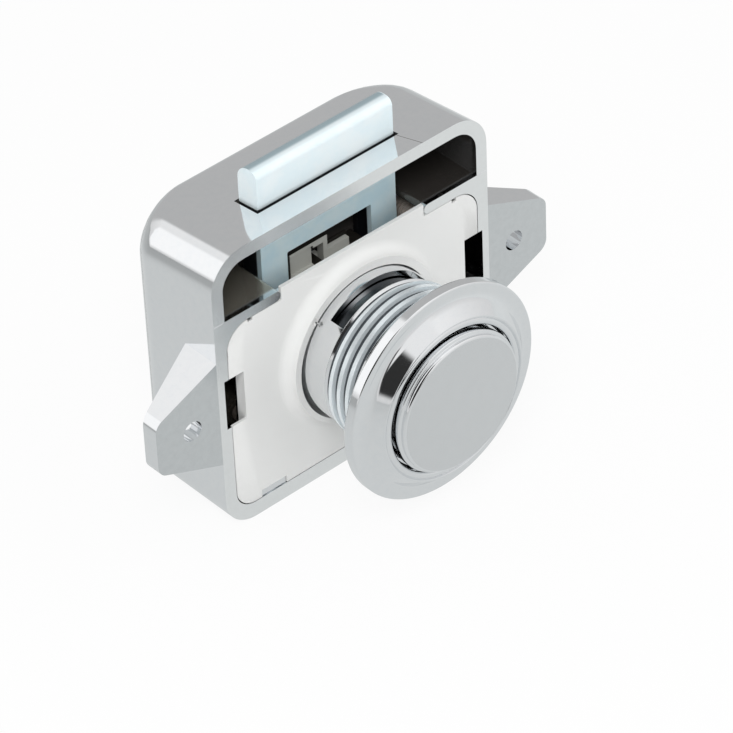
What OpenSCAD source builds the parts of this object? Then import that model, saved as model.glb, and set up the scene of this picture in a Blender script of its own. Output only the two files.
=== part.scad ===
// Push-button latch for a cabinet door: a cast case with two ears, a square
// bolt that stands out of its top, and a round knob on a threaded neck.
// Origin: on the axis of the knob, in the front plane that meets the door.
// +X to the right, +Z the way the bolt comes out, -Y towards the knob.

/* [Case] */
// Width of the case
body_w = 51; // [49:0.5:56]
// Height of the case above the knob's axis
body_up = 26.4; // [26:0.1:30]
// Height of the case below the knob's axis
body_down = 21.6; // [21:0.1:26]
// Depth of the case, front plane to back
body_d = 20; // [19.6:0.1:24]
// Thickness of the side walls
side_wall = 2; // [1.6:0.1:2.4]
// Thickness of the top wall
top_wall = 2.2; // [1.8:0.1:2.8]
// Thickness of the bottom wall
base_wall = 2.6; // [2:0.1:3]
// Thickness of the back wall
back_wall = 1.8; // [1.4:0.1:2.2]
// Radius of the two upper corners, seen from the front
head_r = 6; // [4:0.5:8]
// Radius of the two lower corners, seen from the front
foot_r = 5.4; // [3:0.2:7]
// How far the top falls towards the back
back_fall = 2.1; // [0.5:0.1:2.4]
// Width of the rounding of the two back corners, seen from above
back_cut_w = 9.4; // [5:0.2:11]
// Depth of the rounding of the two back corners, seen from above
back_cut_d = 6.4; // [3:0.2:8]
// Radius of the rounding along the back's top and bottom edge
back_edge_r = 1.4; // [0.6:0.1:1.7]

/* [Ears] */
// Width over the tips of both ears
ear_span = 73.6; // [72:0.2:80]
// Height of an ear where it leaves the case
ear_root_h = 19; // [16:0.5:24]
// Slope of an ear's upper and lower edge, in degrees
ear_slope = 24.5; // [18:0.5:28]
// Thickness of an ear at its tip
ear_tip_t = 2.7; // [2:0.1:4]
// Thickness of an ear where it leaves the case
ear_root_t = 6.9; // [5:0.1:9]
// Radius of the corners of an ear's tip
ear_tip_r = 1.6; // [0.8:0.1:2.4]
// Distance between the two screw holes
screw_spacing = 60.8; // [60:0.2:62]
// Diameter of the screw holes
screw_hole_d = 3.2; // [2.8:0.1:4]

/* [Front openings] */
// Height of the shelves' upper face above the axis
shelf_up = 15.4; // [14.8:0.1:16]
// Thickness of the shelves
shelf_t = 1.65; // [1.2:0.05:2]
// Depth of the shelves
shelf_d = 11; // [6:0.5:13]
// Gap between the inner ends of the two shelves
shelf_gap = 26.8; // [26.2:0.2:30]
// Radius of the upper corners of the window
window_r = 3.8; // [2:0.1:4.5]
// Radius of the corners of the opening for the front plate
seat_r = 4; // [2:0.1:5]
// Height of the catch pocket in each side wall
pocket_h = 8.5; // [6:0.5:10]
// Depth of the catch pocket into the side wall
pocket_in = 0.8; // [0.4:0.1:1]

/* [Front plate] */
// Thickness of the front plate
plate_t = 1.8; // [1.6:0.1:2.2]
// Clearance between the plate and the case
plate_gap = 0.12; // [0.05:0.01:0.3]
// Height of the tongue above the axis
tongue_up = 15.7; // [15:0.1:16]
// Width of the plate's side notches
notch_w = 2.7; // [2:0.1:4]
// Radial gap between the collar and the neck
collar_gap = 0.4; // [0.35:0.05:0.6]
// Height of the collar over the plate
collar_h = 2; // [1:0.1:3]
// Thickness of the collar's rim
collar_rim = 1; // [0.8:0.1:1.4]
// Radius of the fillet at the collar's foot
collar_fillet_r = 1.6; // [0.5:0.1:2]

/* [Neck] */
// Wall of the neck at the crest of its thread
neck_wall = 1.15; // [1:0.05:1.5]
// Depth of the thread grooves
thread_depth = 0.6; // [0.3:0.05:0.7]
// Distance from one ridge to the next
thread_pitch = 1.7; // [1.4:0.1:2]
// Gap between the neck and the knob's tube
neck_gap = 0.2; // [0.2:0.05:0.3]
// Plain length between the front plane and the thread
neck_plain = 6.4; // [5:0.1:7]
// Distance of the neck's front end from the front plane
neck_reach = 18.6; // [18.4:0.1:20]
// Half the angle of the window in the plain part
neck_window_angle = 41; // [25:1:50]
// Length of the window along the neck
neck_window_l = 2.75; // [2:0.05:4]
// Thickness of the neck's foot
neck_foot_t = 1.4; // [1.2:0.1:1.8]
// Width of the neck's foot
neck_foot_w = 40; // [39:0.2:42]
// Height of the neck's foot
neck_foot_h = 25.4; // [25:0.2:27]

/* [Rose] */
// Diameter of the rose
rose_d = 34; // [32:0.5:40]
// Distance of the rose's back face from the front plane
rose_back = 16.1; // [15:0.1:17]
// Thickness of the rose's rim
rose_rim_t = 1.8; // [1:0.1:2.2]
// Height of the bead over the rim
bead_rise = 2.3; // [1.8:0.1:3]
// Gap between the bead and the knob's head
bead_gap = 0.4; // [0.3:0.05:0.8]
// Thickness of the bead
bead_t = 1.2; // [0.8:0.1:1.6]
// Radius of the dish between rim and cone
dish_r = 2; // [1:0.2:2.6]
// Slope of the cone up to the bead
cone_angle = 50; // [35:1:60]
// Width of the lip outside the bead
lip_w = 0.25; // [0.2:0.05:0.4]
// Length of the hub behind the rim
hub_l = 3.2; // [2:0.1:4]

/* [Knob] */
// How far the knob's head stands out over its tube
knob_step = 0.35; // [0.25:0.05:0.5]
// Distance of the knob's face from the front plane
knob_reach = 21.75; // [21.5:0.05:23]
// Length of the knob's head
knob_head_l = 2; // [1.6:0.1:2.2]
// Outer diameter of the knob's tube
tube_d = 21.5; // [21:0.1:21.7]
// Wall of the knob's tube
tube_wall = 1.15; // [0.9:0.05:1.3]
// Travel of the knob
knob_travel = 9; // [6:0.5:9]

/* [Bolt] */
// Width of the bolt
bolt_w = 25; // [24:0.2:26]
// Thickness of the bolt over its fold
bolt_t = 4; // [3.6:0.1:4.2]
// Distance of the bolt's front face from the front plane
bolt_front = 4.9; // [4.8:0.1:5.4]
// How far the bolt stands out of the case
bolt_out = 5.6; // [5:0.1:7]
// Travel of the bolt
bolt_travel = 6; // [4:0.1:6]
// Thickness of the bolt's sheet
sheet_t = 1; // [0.8:0.1:1.2]
// Width of the bolt's window
bolt_window_w = 15.6; // [15.4:0.1:16]
// Radius of the nose at the front
nose_front_r = 1.2; // [1.1:0.1:1.4]
// Radius of the nose at the back
nose_back_r = 2.3; // [1.6:0.1:2.4]
// Height of the window's upper edge above the axis
bolt_window_up = 16.1; // [15.6:0.1:17]
// Depth of the bolt's legs below the axis
bolt_down = 9; // [7:0.1:9.6]
// Gap around the bolt in the case's slot
slot_gap = 0.5; // [0.3:0.1:0.8]

/* [Drive] */
// Diameter of the drive pin
pin_d = 2; // [1.6:0.1:2.2]
// Wall of the plunger's block over the drive pin
pin_cover = 0.6; // [0.5:0.05:0.8]
// How much narrower the plunger's block is than its round front
block_trim_w = 3.4; // [3:0.1:4.4]
// How much lower the plunger's block is than its round front
block_trim_h = 5.8; // [5.4:0.1:6.2]
// Room on each side of the knob spring's wire
spring_room = 0.4; // [0.3:0.05:0.5]
// Clearance of sliding pieces
slide_gap = 0.3; // [0.2:0.05:0.4]
// Wire thickness of the follower
follower_d = 0.9; // [0.7:0.1:1]
// Depth of the follower's track
track_depth = 1; // [0.8:0.1:1.1]

/* [Springs] */
// Wire thickness of the knob spring
knob_wire = 0.9; // [0.7:0.1:1]
// Turns of the knob spring
knob_turns = 9; // [6:1:10]
// Wire thickness of the bolt springs
bolt_wire = 0.5; // [0.4:0.05:0.6]
// Outer diameter of the bolt springs
bolt_spring_d = 3.6; // [3.2:0.1:3.8]
// Turns of the bolt springs
bolt_turns = 6; // [4:1:7]

/* [Screws] */
// Thread diameter of the foot screws
foot_screw_d = 2.5; // [2:0.1:2.8]
// Head diameter of the foot screws
foot_head_d = 4; // [3.8:0.1:4.2]
// Gap between the guide block and the bosses of the foot screws
boss_gap = 0.9; // [0.8:0.1:1.3]
// Distance of the foot screws from the middle, up and down
foot_screw_z = 11; // [10.7:0.1:11.1]
// Length of the foot screws under their heads
foot_screw_l = 12; // [10:0.5:14]
// Length of the bosses that take the foot screws
boss_l = 8.8; // [7:0.2:9]
// Thread diameter of the knob screw
knob_screw_d = 2.5; // [2:0.1:3]

/* [Hidden] */
$fn = 64;
eps = 0.01;
fine = 96;
arc_steps = 12;

chrome = [0.80, 0.81, 0.82];
zinc = [0.83, 0.88, 0.94];
nylon = [0.93, 0.93, 0.91];
black_nylon = [0.06, 0.06, 0.06];
steel = [0.62, 0.63, 0.64];

// Case
half_w = body_w / 2;
cavity_half_w = half_w - side_wall;
cavity_up = body_up - top_wall;
cavity_down = body_down - base_wall;
cavity_d = body_d - back_wall;
seat_up = shelf_up - shelf_t;
ear_tip_x = ear_span / 2;
pocket_mid = 0.95;
pocket_d = 6;
lug_w = 4.4;
lug_h = 1.3;
lug_x = 16.6;
lug_back = 0.25;

// Neck, rose and knob
tube_r = tube_d / 2;
tube_bore_r = tube_r - tube_wall;
neck_bore_r = tube_r + neck_gap;
thread_r = neck_bore_r + neck_wall;
root_r = thread_r - thread_depth;
plain_r = thread_r - thread_depth / 2;
collar_bore_r = plain_r + collar_gap;
collar_top_r = collar_bore_r + collar_rim;
foot_y = plate_t;
foot_back = plate_t + neck_foot_t;
rose_r = rose_d / 2;
knob_r = tube_r + knob_step;
bead_r = knob_r + bead_gap;
rose_front = rose_back + rose_rim_t;
bead_front = rose_front + bead_rise;
knob_in = knob_reach - knob_head_l;
tube_end = foot_back - 0.7;
knob_boss_r = 3.4;
knob_boss_l = 2.2;
face_edge_r = 0.7;

// Bolt
bolt_half_w = bolt_w / 2;
bolt_mid = bolt_front + bolt_t / 2;
bolt_back = bolt_front + bolt_t;
bolt_top = body_up + bolt_out;
leg_in = bolt_window_w / 2;
leg_w = bolt_half_w - leg_in;
slot_half_w = bolt_half_w + slot_gap;

// Drive
pin_r = pin_d / 2;
pin_gap = 0.06;
pin_head_r = pin_r + 0.7;
pin_head_t = 0.6;
clip_t = 0.5;
clip_r = pin_r + 1;
drive_angle = atan(bolt_travel / knob_travel);
drive_len = norm([knob_travel, bolt_travel]);
block_back = body_d - back_wall - 0.8;
block_front = foot_back - 0.7;
plunger_front = knob_in - knob_boss_l;
plunger_r = tube_bore_r - knob_wire - 2 * spring_room;
knob_spring_r = (plunger_r + tube_bore_r) / 2;
block_w = 2 * plunger_r - block_trim_w;
block_h = 2 * plunger_r - block_trim_h;
pin_up = block_h / 2 - pin_r - pin_cover;
screw_bore_r = knob_screw_d / 2 + 0.15;
head_bore_r = 2.8;
knob_screw_head_r = 2.5;
knob_screw_head_t = 1.6;
knob_screw_seat = plunger_front - 3.5;
knob_screw_l = 5.2;

// Guide block
guide_front = foot_back + 0.1;
guide_front_t = bolt_front - slide_gap - guide_front;
guide_back = bolt_back + slide_gap;
guide_end = body_d - back_wall;
guide_hole_w = block_w + 2 * slide_gap;
guide_hole_h = block_h + 2 * slide_gap;
spring_seat_x = 2.1;
spring_seat_z = 0.8;
guide_w = 2 * (knob_spring_r + knob_wire / 2 + spring_seat_x);
guide_h = 2 * (knob_spring_r + knob_wire / 2 + spring_seat_z);
bridge_half_w = leg_in - slide_gap - 0.1;
bridge_top = bolt_window_up - bolt_travel - 0.5;
tower_t = bolt_t - 2 * sheet_t - 2 * slide_gap;
tower_left = -6.8;
tower_right = 0.6;
tower_up = 13.9;
ledge_right = 4.6;
ledge_up = 11.4;
lip_t = 0.35;
tower_wall = 0.45;
tower_recess = 0.5;
tower_gap_left = -2;
seam_gap = 0.05;
guide_screw_edge = 2.5;
guide_screw_x = guide_w / 2 - guide_screw_edge;
guide_screw_z = guide_h / 2 - guide_screw_edge;
guide_screw_r = 1;
guide_head_r = 1.7;
guide_head_t = 1.1;
guide_head_room = 0.15;
guide_seat = guide_back + 1.6;
guide_screw_l = guide_end + 1.1 - guide_seat;

// Follower and its track
track_y = bolt_mid + 0.4;
pivot_y = track_y + knob_travel + 0.2;
follower_r = follower_d / 2;
lane_x = 0.8;
lane_w = follower_d + 0.8;
loop_x = -3;
follower_z = -block_h / 2 - follower_r - 0.5;
follower_down = 2.2;
tip_top = -block_h / 2 + track_depth - 0.3;
leaf_t = 0.25;
leaf_w = 3.6;
leaf_z = follower_z - follower_r - 0.2 - leaf_t;
follower_slot_w = 5;
follower_slot_z = leaf_z - 0.05;

// Springs
bolt_spring_r = bolt_spring_d / 2 - bolt_wire / 2;
spring_x = leg_in + leg_w / 2;
post_r = bolt_spring_r - bolt_wire / 2 - 0.35;
post_l = 2.6;

// Screw bosses of the case
thread_gap = 0.03;
boss_r = foot_screw_d / 2 + 1.15;
boss_front = cavity_d - boss_l;
foot_screw_x = guide_w / 2 + boss_gap + boss_r;
foot_head_t = 1.1;
head_room = 0.2;

// Points of an arc in the plane
function arc(cx, cy, rx, ry, a0, a1, n = arc_steps) =
    [for (i = [0 : n]) let (a = a0 + (a1 - a0) * i / n) [cx + rx * cos(a), cy + ry * sin(a)]];

// Turns a shape drawn in X and Z into a plate from y0 to y1
module plate(y0, y1) {
    translate([0, y1, 0]) rotate([90, 0, 0]) linear_extrude(y1 - y0) children();
}

// A cylinder along Y from y0 to y1
module rod_y(r, y0, y1, x = 0, z = 0) {
    translate([x, y1, z]) rotate([90, 0, 0]) cylinder(r = r, h = y1 - y0);
}

// A cylinder along X from x0 to x1
module rod_x(r, x0, x1, y = 0, z = 0) {
    translate([x0, y, z]) rotate([0, 90, 0]) cylinder(r = r, h = x1 - x0);
}

// A box between two corners
module block(a, b) {
    translate(a) cube(b - a);
}

// A turned shape about the knob's axis; the profile is [radius, distance to the front]
module turned() {
    rotate([90, 0, 0]) rotate_extrude($fn = fine) children();
}

// The same shape at +x and -x
module both_sides() {
    children();
    mirror([1, 0, 0]) children();
}

// Rectangle with one radius for the upper corners and one for the lower ones
module front_outline(half, up, down, r_up, r_down) {
    polygon(concat(
        arc(half - r_up, up - r_up, r_up, r_up, 0, 90),
        arc(-half + r_up, up - r_up, r_up, r_up, 90, 180),
        arc(-half + r_down, -down + r_down, r_down, r_down, 180, 270),
        arc(half - r_down, -down + r_down, r_down, r_down, 270, 360)
    ));
}

// The case seen from above, with its back corners rounded off
module plan_outline(half, depth, cut_w, cut_d) {
    polygon(concat(
        [[-half, -eps], [half, -eps]],
        arc(half - cut_w, depth - cut_d, cut_w, cut_d, 0, 90),
        arc(-half + cut_w, depth - cut_d, cut_w, cut_d, 90, 180)
    ));
}

// The case seen from the side: the top falls to the back, and the back's edges are round
module side_outline(up, down, depth, fall, r) {
    polygon(concat(
        [[-eps, -down], [-eps, up]],
        arc(depth - r, up - fall - r, r, r, 90, 0, 6),
        arc(depth - r, -down + r, r, r, 0, -90, 6)
    ));
}

// A solid that is the case's shape, given by its half width, height and depth
module case_shape(half, up, down, depth, r_up, r_down, cut_w, cut_d, fall, r) {
    intersection() {
        plate(0, depth) front_outline(half, up, down, r_up, r_down);
        translate([0, 0, -down]) linear_extrude(up + down) plan_outline(half, depth, cut_w, cut_d);
        rotate([90, 0, 90]) translate([0, 0, -half]) linear_extrude(2 * half)
            side_outline(up, down, depth, fall, r);
    }
}

// One ear, seen from the front, from inside the side wall to its tip
module ear_outline() {
    run = ear_tip_x - half_w;
    tip_h = ear_root_h / 2 - run * tan(ear_slope);
    bend = ear_tip_r * tan((90 - ear_slope) / 2);
    polygon(concat(
        [[half_w - side_wall / 2, -ear_root_h / 2], [half_w, -ear_root_h / 2]],
        arc(ear_tip_x - ear_tip_r, -tip_h + bend, ear_tip_r, ear_tip_r, -90 + ear_slope, 0, 6),
        arc(ear_tip_x - ear_tip_r, tip_h - bend, ear_tip_r, ear_tip_r, 0, 90 - ear_slope, 6),
        [[half_w, ear_root_h / 2], [half_w - side_wall / 2, ear_root_h / 2]]
    ));
}

// One ear, seen from above: it gets thinner towards its tip
module ear_plan() {
    polygon([
        [half_w - side_wall / 2, 0], [ear_tip_x, 0],
        [ear_tip_x, ear_tip_t], [half_w, ear_root_t], [half_w - side_wall / 2, ear_root_t],
    ]);
}

module ear() {
    difference() {
        intersection() {
            plate(0, ear_root_t) ear_outline();
            translate([0, 0, -ear_root_h]) linear_extrude(2 * ear_root_h) ear_plan();
        }
        rod_y(screw_hole_d / 2, -1, ear_root_t + 1, screw_spacing / 2);
    }
}

// One shelf with a rounded inner end, under the window
module shelf() {
    end_r = shelf_t / 2;
    block([shelf_gap / 2 + end_r, 0, seat_up], [cavity_half_w + eps, shelf_d, shelf_up]);
    rod_y(end_r, 0, shelf_d, shelf_gap / 2 + end_r, seat_up + end_r);
}

module housing() {
    color(chrome) difference() {
        union() {
            difference() {
                case_shape(half_w, body_up, body_down, body_d, head_r, foot_r,
                    back_cut_w, back_cut_d, back_fall, back_edge_r);
                translate([0, -eps, 0]) case_shape(cavity_half_w, cavity_up, cavity_down, cavity_d + eps,
                    window_r, seat_r, back_cut_w, back_cut_d, back_fall, back_edge_r);
            }
            both_sides() {
                ear();
                shelf();
                housing_corner_webs();
                for (side = [-1, 1]) {
                    rod_y(boss_r, boss_front, cavity_d + eps, foot_screw_x, side * foot_screw_z);
                }
            }
            both_sides() translate([spring_x, bolt_mid, -cavity_down - eps])
                cylinder(r = post_r, h = post_l + eps);
            block([-lug_x - lug_w / 2, lug_back, -cavity_down - eps],
                [-lug_x + lug_w / 2, plate_t - lug_back, -cavity_down + lug_h - plate_gap]);
        }
        block([-slot_half_w, bolt_front - slot_gap, cavity_up - back_fall - 1],
            [slot_half_w, bolt_back + slot_gap, body_up + 1]);
        both_sides() {
            block([cavity_half_w - eps, -eps, pocket_mid - pocket_h / 2],
                [cavity_half_w + pocket_in, pocket_d, pocket_mid + pocket_h / 2]);
            for (side = [-1, 1]) {
                rod_y(foot_screw_d / 2 + thread_gap, boss_front - eps, foot_y + foot_screw_l + 0.5,
                    foot_screw_x, side * foot_screw_z);
                rod_y(guide_screw_r + thread_gap, cavity_d - eps, guide_seat + guide_screw_l + 0.1,
                    guide_screw_x, side * guide_screw_z);
            }
        }
    }
}

// Rounded fillets that close the upper corners of the opening for the plate
module housing_corner_webs() {
    plate(0, plate_t + shelf_t) difference() {
        translate([cavity_half_w - seat_r, seat_up - seat_r]) square(seat_r + eps);
        translate([cavity_half_w - seat_r, seat_up - seat_r]) circle(r = seat_r);
    }
}

module front_plate() {
    half = cavity_half_w - plate_gap;
    up = seat_up - plate_gap;
    down = cavity_down - plate_gap;
    tongue_half = shelf_gap / 2 - plate_gap;
    color(nylon) difference() {
        union() {
            plate(0, plate_t) front_outline(half, up, down, seat_r, seat_r);
            block([-tongue_half, 0, 0], [tongue_half, plate_t, tongue_up]);
            turned() collar_profile();
        }
        rod_y(collar_bore_r, -collar_h - 1, plate_t + 1);
        both_sides() block([cavity_half_w - notch_w, -1, pocket_mid - pocket_h / 2],
            [half_w, plate_t + 1, pocket_mid + pocket_h / 2]);
        block([-lug_x - lug_w / 2 - plate_gap, -1, -cavity_down - 1],
            [-lug_x + lug_w / 2 + plate_gap, plate_t + 1, -cavity_down + lug_h]);
        both_sides() for (side = [-1, 1]) {
            rod_y(foot_head_d / 2 + head_room, plate_t - foot_head_t - head_room, plate_t + 1,
                foot_screw_x, side * foot_screw_z);
        }
    }
}

// Section of the collar: a rim, a fillet down to the plate, and a root inside it
module collar_profile() {
    polygon(concat(
        [[collar_bore_r - eps, -plate_t / 2], [collar_bore_r - eps, collar_h], [collar_top_r, collar_h]],
        arc(collar_top_r + collar_fillet_r, collar_fillet_r, collar_fillet_r, collar_fillet_r, 180, 270, 8),
        [[collar_top_r + collar_fillet_r, -plate_t / 2]]
    ));
}

// Section of the neck from its foot to its front end, with a ridge for each turn
module neck_profile() {
    ridges = floor((neck_reach - neck_plain) / thread_pitch);
    flat = thread_pitch * 0.58;
    slope = thread_pitch * 0.16;
    polygon(concat(
        [[neck_bore_r, -foot_back], [plain_r, -foot_back], [plain_r, neck_plain]],
        [for (i = [0 : ridges - 1]) for (q = [[root_r, 0], [thread_r, slope], [thread_r, slope + flat],
            [root_r, 2 * slope + flat]]) [q[0], neck_plain + i * thread_pitch + q[1]]],
        [[root_r, neck_reach], [neck_bore_r, neck_reach]]
    ));
}

module neck() {
    color(chrome) difference() {
        union() {
            turned() neck_profile();
            difference() {
                plate(foot_y, foot_back) front_outline(neck_foot_w / 2, neck_foot_h / 2, neck_foot_h / 2, 3, 3);
                rod_y(plain_r - eps, foot_y - 1, foot_back + 1);
            }
        }
        neck_window();
        both_sides() for (side = [-1, 1]) {
            rod_y(foot_screw_d / 2 + thread_gap, foot_y - 1, foot_back + 1, foot_screw_x, side * foot_screw_z);
        }
    }
}

// The wedge of the plain part that is left open over the knob's tube
module neck_window() {
    far = 2 * thread_r;
    plate(-neck_plain + 0.1, -neck_plain + neck_window_l) polygon([
        [0, 0], [far * sin(neck_window_angle), far * cos(neck_window_angle)],
        [-far * sin(neck_window_angle), far * cos(neck_window_angle)],
    ]);
}

// A screw with a domed head, along Y; it goes from its seat towards the back
module screw_y(r, head_r, head_t, length) {
    rotate([90, 0, 0]) rotate_extrude() polygon(concat(
        [[0, -length], [r * 0.4, -length], [r, -length + r], [r, 0], [head_r, 0], [head_r, head_t * 0.45]],
        arc(0, head_t * 0.45, head_r, head_t * 0.55, 0, 90, 6)
    ));
}

module foot_screws() {
    color(steel) both_sides() for (side = [-1, 1]) {
        translate([foot_screw_x, foot_y, side * foot_screw_z])
            screw_y(foot_screw_d / 2, foot_head_d / 2, foot_head_t, foot_screw_l);
    }
}

// Section of the rose: hub, rim, dished front and a round bead about the knob
module rose_profile() {
    lip_r = bead_r + bead_t + lip_w;
    bead_w = bead_t - 0.15;
    rise = bead_rise - dish_r * (1 - cos(cone_angle));
    dish_x = lip_r + rise / tan(cone_angle) + dish_r * sin(cone_angle);
    polygon(concat(
        [[thread_r + 0.02, rose_back - hub_l], [thread_r + 0.6, rose_back - hub_l],
            [thread_r + 1.2, rose_back], [rose_r - 0.4, rose_back], [rose_r, rose_back + 0.4],
            [rose_r, rose_front - 0.3], [rose_r - 0.3, rose_front]],
        arc(dish_x, rose_front + dish_r, dish_r, dish_r, 270, 270 - cone_angle, 8),
        [[lip_r + 0.12, bead_front - 0.16], [lip_r - 0.06, bead_front], [lip_r - 0.24, bead_front],
            [lip_r - 0.34, bead_front - 0.2]],
        arc(bead_r + bead_w / 2, bead_front - bead_w / 2, bead_w / 2, bead_w / 2, 0, 180, 10),
        [[bead_r, neck_reach], [thread_r + 0.02, neck_reach]]
    ));
}

module rose() {
    color(chrome) turned() rose_profile();
}

// Section of the knob: a head with a stepped edge on a long tube
module knob_profile() {
    step_r = knob_r - 0.3;
    step_y = knob_reach - 0.85;
    polygon(concat(
        [[0, knob_in], [tube_bore_r, knob_in], [tube_bore_r, -tube_end], [tube_r, -tube_end],
            [tube_r, knob_in - 0.1], [knob_r, knob_in - 0.1], [knob_r, step_y - 0.2], [knob_r - 0.15, step_y],
            [step_r - 0.15, step_y], [step_r - 0.15, step_y + 0.15]],
        arc(step_r - face_edge_r, knob_reach - face_edge_r, face_edge_r, face_edge_r, 0, 90, 6),
        [[0, knob_reach]]
    ));
}

module knob() {
    color(chrome) difference() {
        union() {
            turned() knob_profile();
            rod_y(knob_boss_r, -knob_in - eps, -knob_in + knob_boss_l);
        }
        rod_y(knob_screw_d / 2 + thread_gap, -knob_in - 0.8, -knob_in + knob_boss_l + 1);
    }
}

// A slanted slot through the block, from one end of the pin's path to the other
module drive_slot() {
    r = pin_r + pin_gap;
    translate([-block_w, bolt_mid, pin_up]) rotate([-drive_angle, 0, 0]) rotate([90, 0, 90])
        linear_extrude(2 * block_w) polygon(concat(
            arc(0, 0, r, r, 90, 270),
            arc(drive_len, 0, r, r, -90, 90)
        ));
}

// Outward normal of the edge from corner i to the next one
function edge_normal(p, i) =
    let (d = p[(i + 1) % len(p)] - p[i]) [d[1], -d[0]] / norm(d);

// Corners of a shape moved outwards by r, with an arc round each corner
function grown(p, r) = [for (i = [0 : len(p) - 1])
    let (n0 = edge_normal(p, (i + len(p) - 1) % len(p)), n1 = edge_normal(p, i),
        a0 = atan2(n0[1], n0[0]), a1 = atan2(n1[1], n1[0]), turn = a1 < a0 ? a1 + 360 : a1)
    for (q = arc(p[i][0], p[i][1], r, r, a0, turn, 6)) q];

// Corners of a shape moved inwards by r
function shrunk(p, r) = [for (i = [0 : len(p) - 1])
    let (n0 = edge_normal(p, (i + len(p) - 1) % len(p)), n1 = edge_normal(p, i))
    p[i] - r * (n0 + n1) / (1 + n0 * n1)];

// The closed loop in which the follower runs: out along one side and back along the other
module track() {
    path = [[loop_x, track_y - 0.2], [lane_x, track_y], [-lane_x, track_y + knob_travel],
        [loop_x, track_y + knob_travel * 0.62]];
    translate([0, 0, -block_h / 2 - 1]) difference() {
        linear_extrude(track_depth + 1) polygon(grown(path, lane_w / 2));
        translate([0, 0, -1]) linear_extrude(track_depth + 3) polygon(shrunk(path, lane_w / 2));
    }
}

module plunger() {
    color(nylon) difference() {
        union() {
            rod_y(plunger_r, -plunger_front, block_front + eps);
            intersection() {
                block([-block_w / 2, block_front, -block_h / 2], [block_w / 2, block_back, block_h / 2]);
                rod_y(plunger_r, block_front - 1, block_back + 1);
            }
        }
        rod_y(screw_bore_r, -plunger_front - 1, 0);
        rod_y(head_bore_r, -knob_screw_seat, block_back + 1);
        drive_slot();
        track();
    }
}

module knob_screw() {
    color(steel) translate([0, -knob_screw_seat, 0]) mirror([0, 1, 0])
        screw_y(knob_screw_d / 2, knob_screw_head_r, knob_screw_head_t, knob_screw_l);
}

// A coil spring along Z with closed ends, as one swept tube
module coil(r, wire_r, length, turns, rings, sides) {
    n = turns * rings;
    clear = wire_r * 2.1;
    span = length - 2 * wire_r;
    rise = (span - 2 * clear) / (turns - 2);
    function climb(t) = t < 1 ? t * clear : t > turns - 1 ? span - (turns - t) * clear
        : clear + (t - 1) * rise;
    points = [for (i = [0 : n]) for (k = [0 : sides - 1])
        let (t = i / rings, a = 360 * t, b = 360 * k / sides)
        [(r + wire_r * cos(b)) * cos(a), (r + wire_r * cos(b)) * sin(a), wire_r + climb(t) + wire_r * sin(b)]];
    skin = [for (i = [0 : n - 1]) for (k = [0 : sides - 1])
        let (m = (k + 1) % sides, p = i * sides, q = (i + 1) * sides)
        [p + k, p + m, q + m, q + k]];
    polyhedron(points, concat([[for (k = [sides - 1 : -1 : 0]) k]], skin,
        [[for (k = [0 : sides - 1]) n * sides + k]]), convexity = 10);
}

module knob_spring() {
    color(steel) translate([0, guide_front, 0]) rotate([90, 0, 0])
        coil(knob_spring_r, knob_wire / 2, guide_front + knob_in, knob_turns, 28, 8);
}

module bolt_spring() {
    color(steel) translate([spring_x, bolt_mid, -cavity_down])
        coil(bolt_spring_r, bolt_wire / 2, cavity_down - bolt_down, bolt_turns, 20, 6);
}

module bolt_spring_left() {
    mirror([1, 0, 0]) bolt_spring();
}

module bolt_spring_right() {
    bolt_spring();
}

// The bolt seen from the side: a sheet folded over a round nose, which is rounder at the back
module bolt_section(t, top, low, front_r, back_r) {
    polygon(concat(
        [[bolt_mid - t / 2, low], [bolt_mid + t / 2, low]],
        arc(bolt_mid + t / 2 - back_r, top - back_r, back_r, back_r, 0, 90),
        arc(bolt_mid - t / 2 + front_r, top - front_r, front_r, front_r, 90, 180)
    ));
}

module bolt() {
    inner_t = bolt_t - 2 * sheet_t;
    inner_half = bolt_half_w - sheet_t;
    color(zinc) difference() {
        rotate([90, 0, 90]) translate([0, 0, -bolt_half_w]) linear_extrude(bolt_w)
            bolt_section(bolt_t, bolt_top, -bolt_down, nose_front_r, nose_back_r);
        rotate([90, 0, 90]) translate([0, 0, -inner_half]) linear_extrude(2 * inner_half)
            bolt_section(inner_t, bolt_top - sheet_t, -bolt_down + sheet_t,
                nose_front_r - sheet_t + eps, nose_back_r - sheet_t);
        block([-leg_in, bolt_front - 1, -bolt_down - 1], [leg_in, bolt_back + 1, bolt_window_up]);
        rod_x(pin_r, -bolt_half_w - 1, bolt_half_w + 1, bolt_mid, pin_up);
    }
}

module drive_pin() {
    color(steel) {
        rod_x(pin_r, -bolt_half_w, bolt_half_w + pin_head_t, bolt_mid, pin_up);
        rod_x(pin_head_r, -bolt_half_w - pin_head_t, -bolt_half_w, bolt_mid, pin_up);
    }
}

// A flat ring clip with an open mouth, on the pin's right end
module pin_clip() {
    color(steel) difference() {
        rod_x(clip_r, bolt_half_w, bolt_half_w + clip_t, bolt_mid, pin_up);
        rod_x(pin_r, bolt_half_w - 1, bolt_half_w + clip_t + 1, bolt_mid, pin_up);
        block([bolt_half_w - 1, bolt_mid - pin_r * 0.7, pin_up - clip_r - 1],
            [bolt_half_w + clip_t + 1, bolt_mid + pin_r * 0.7, pin_up]);
    }
}

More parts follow.
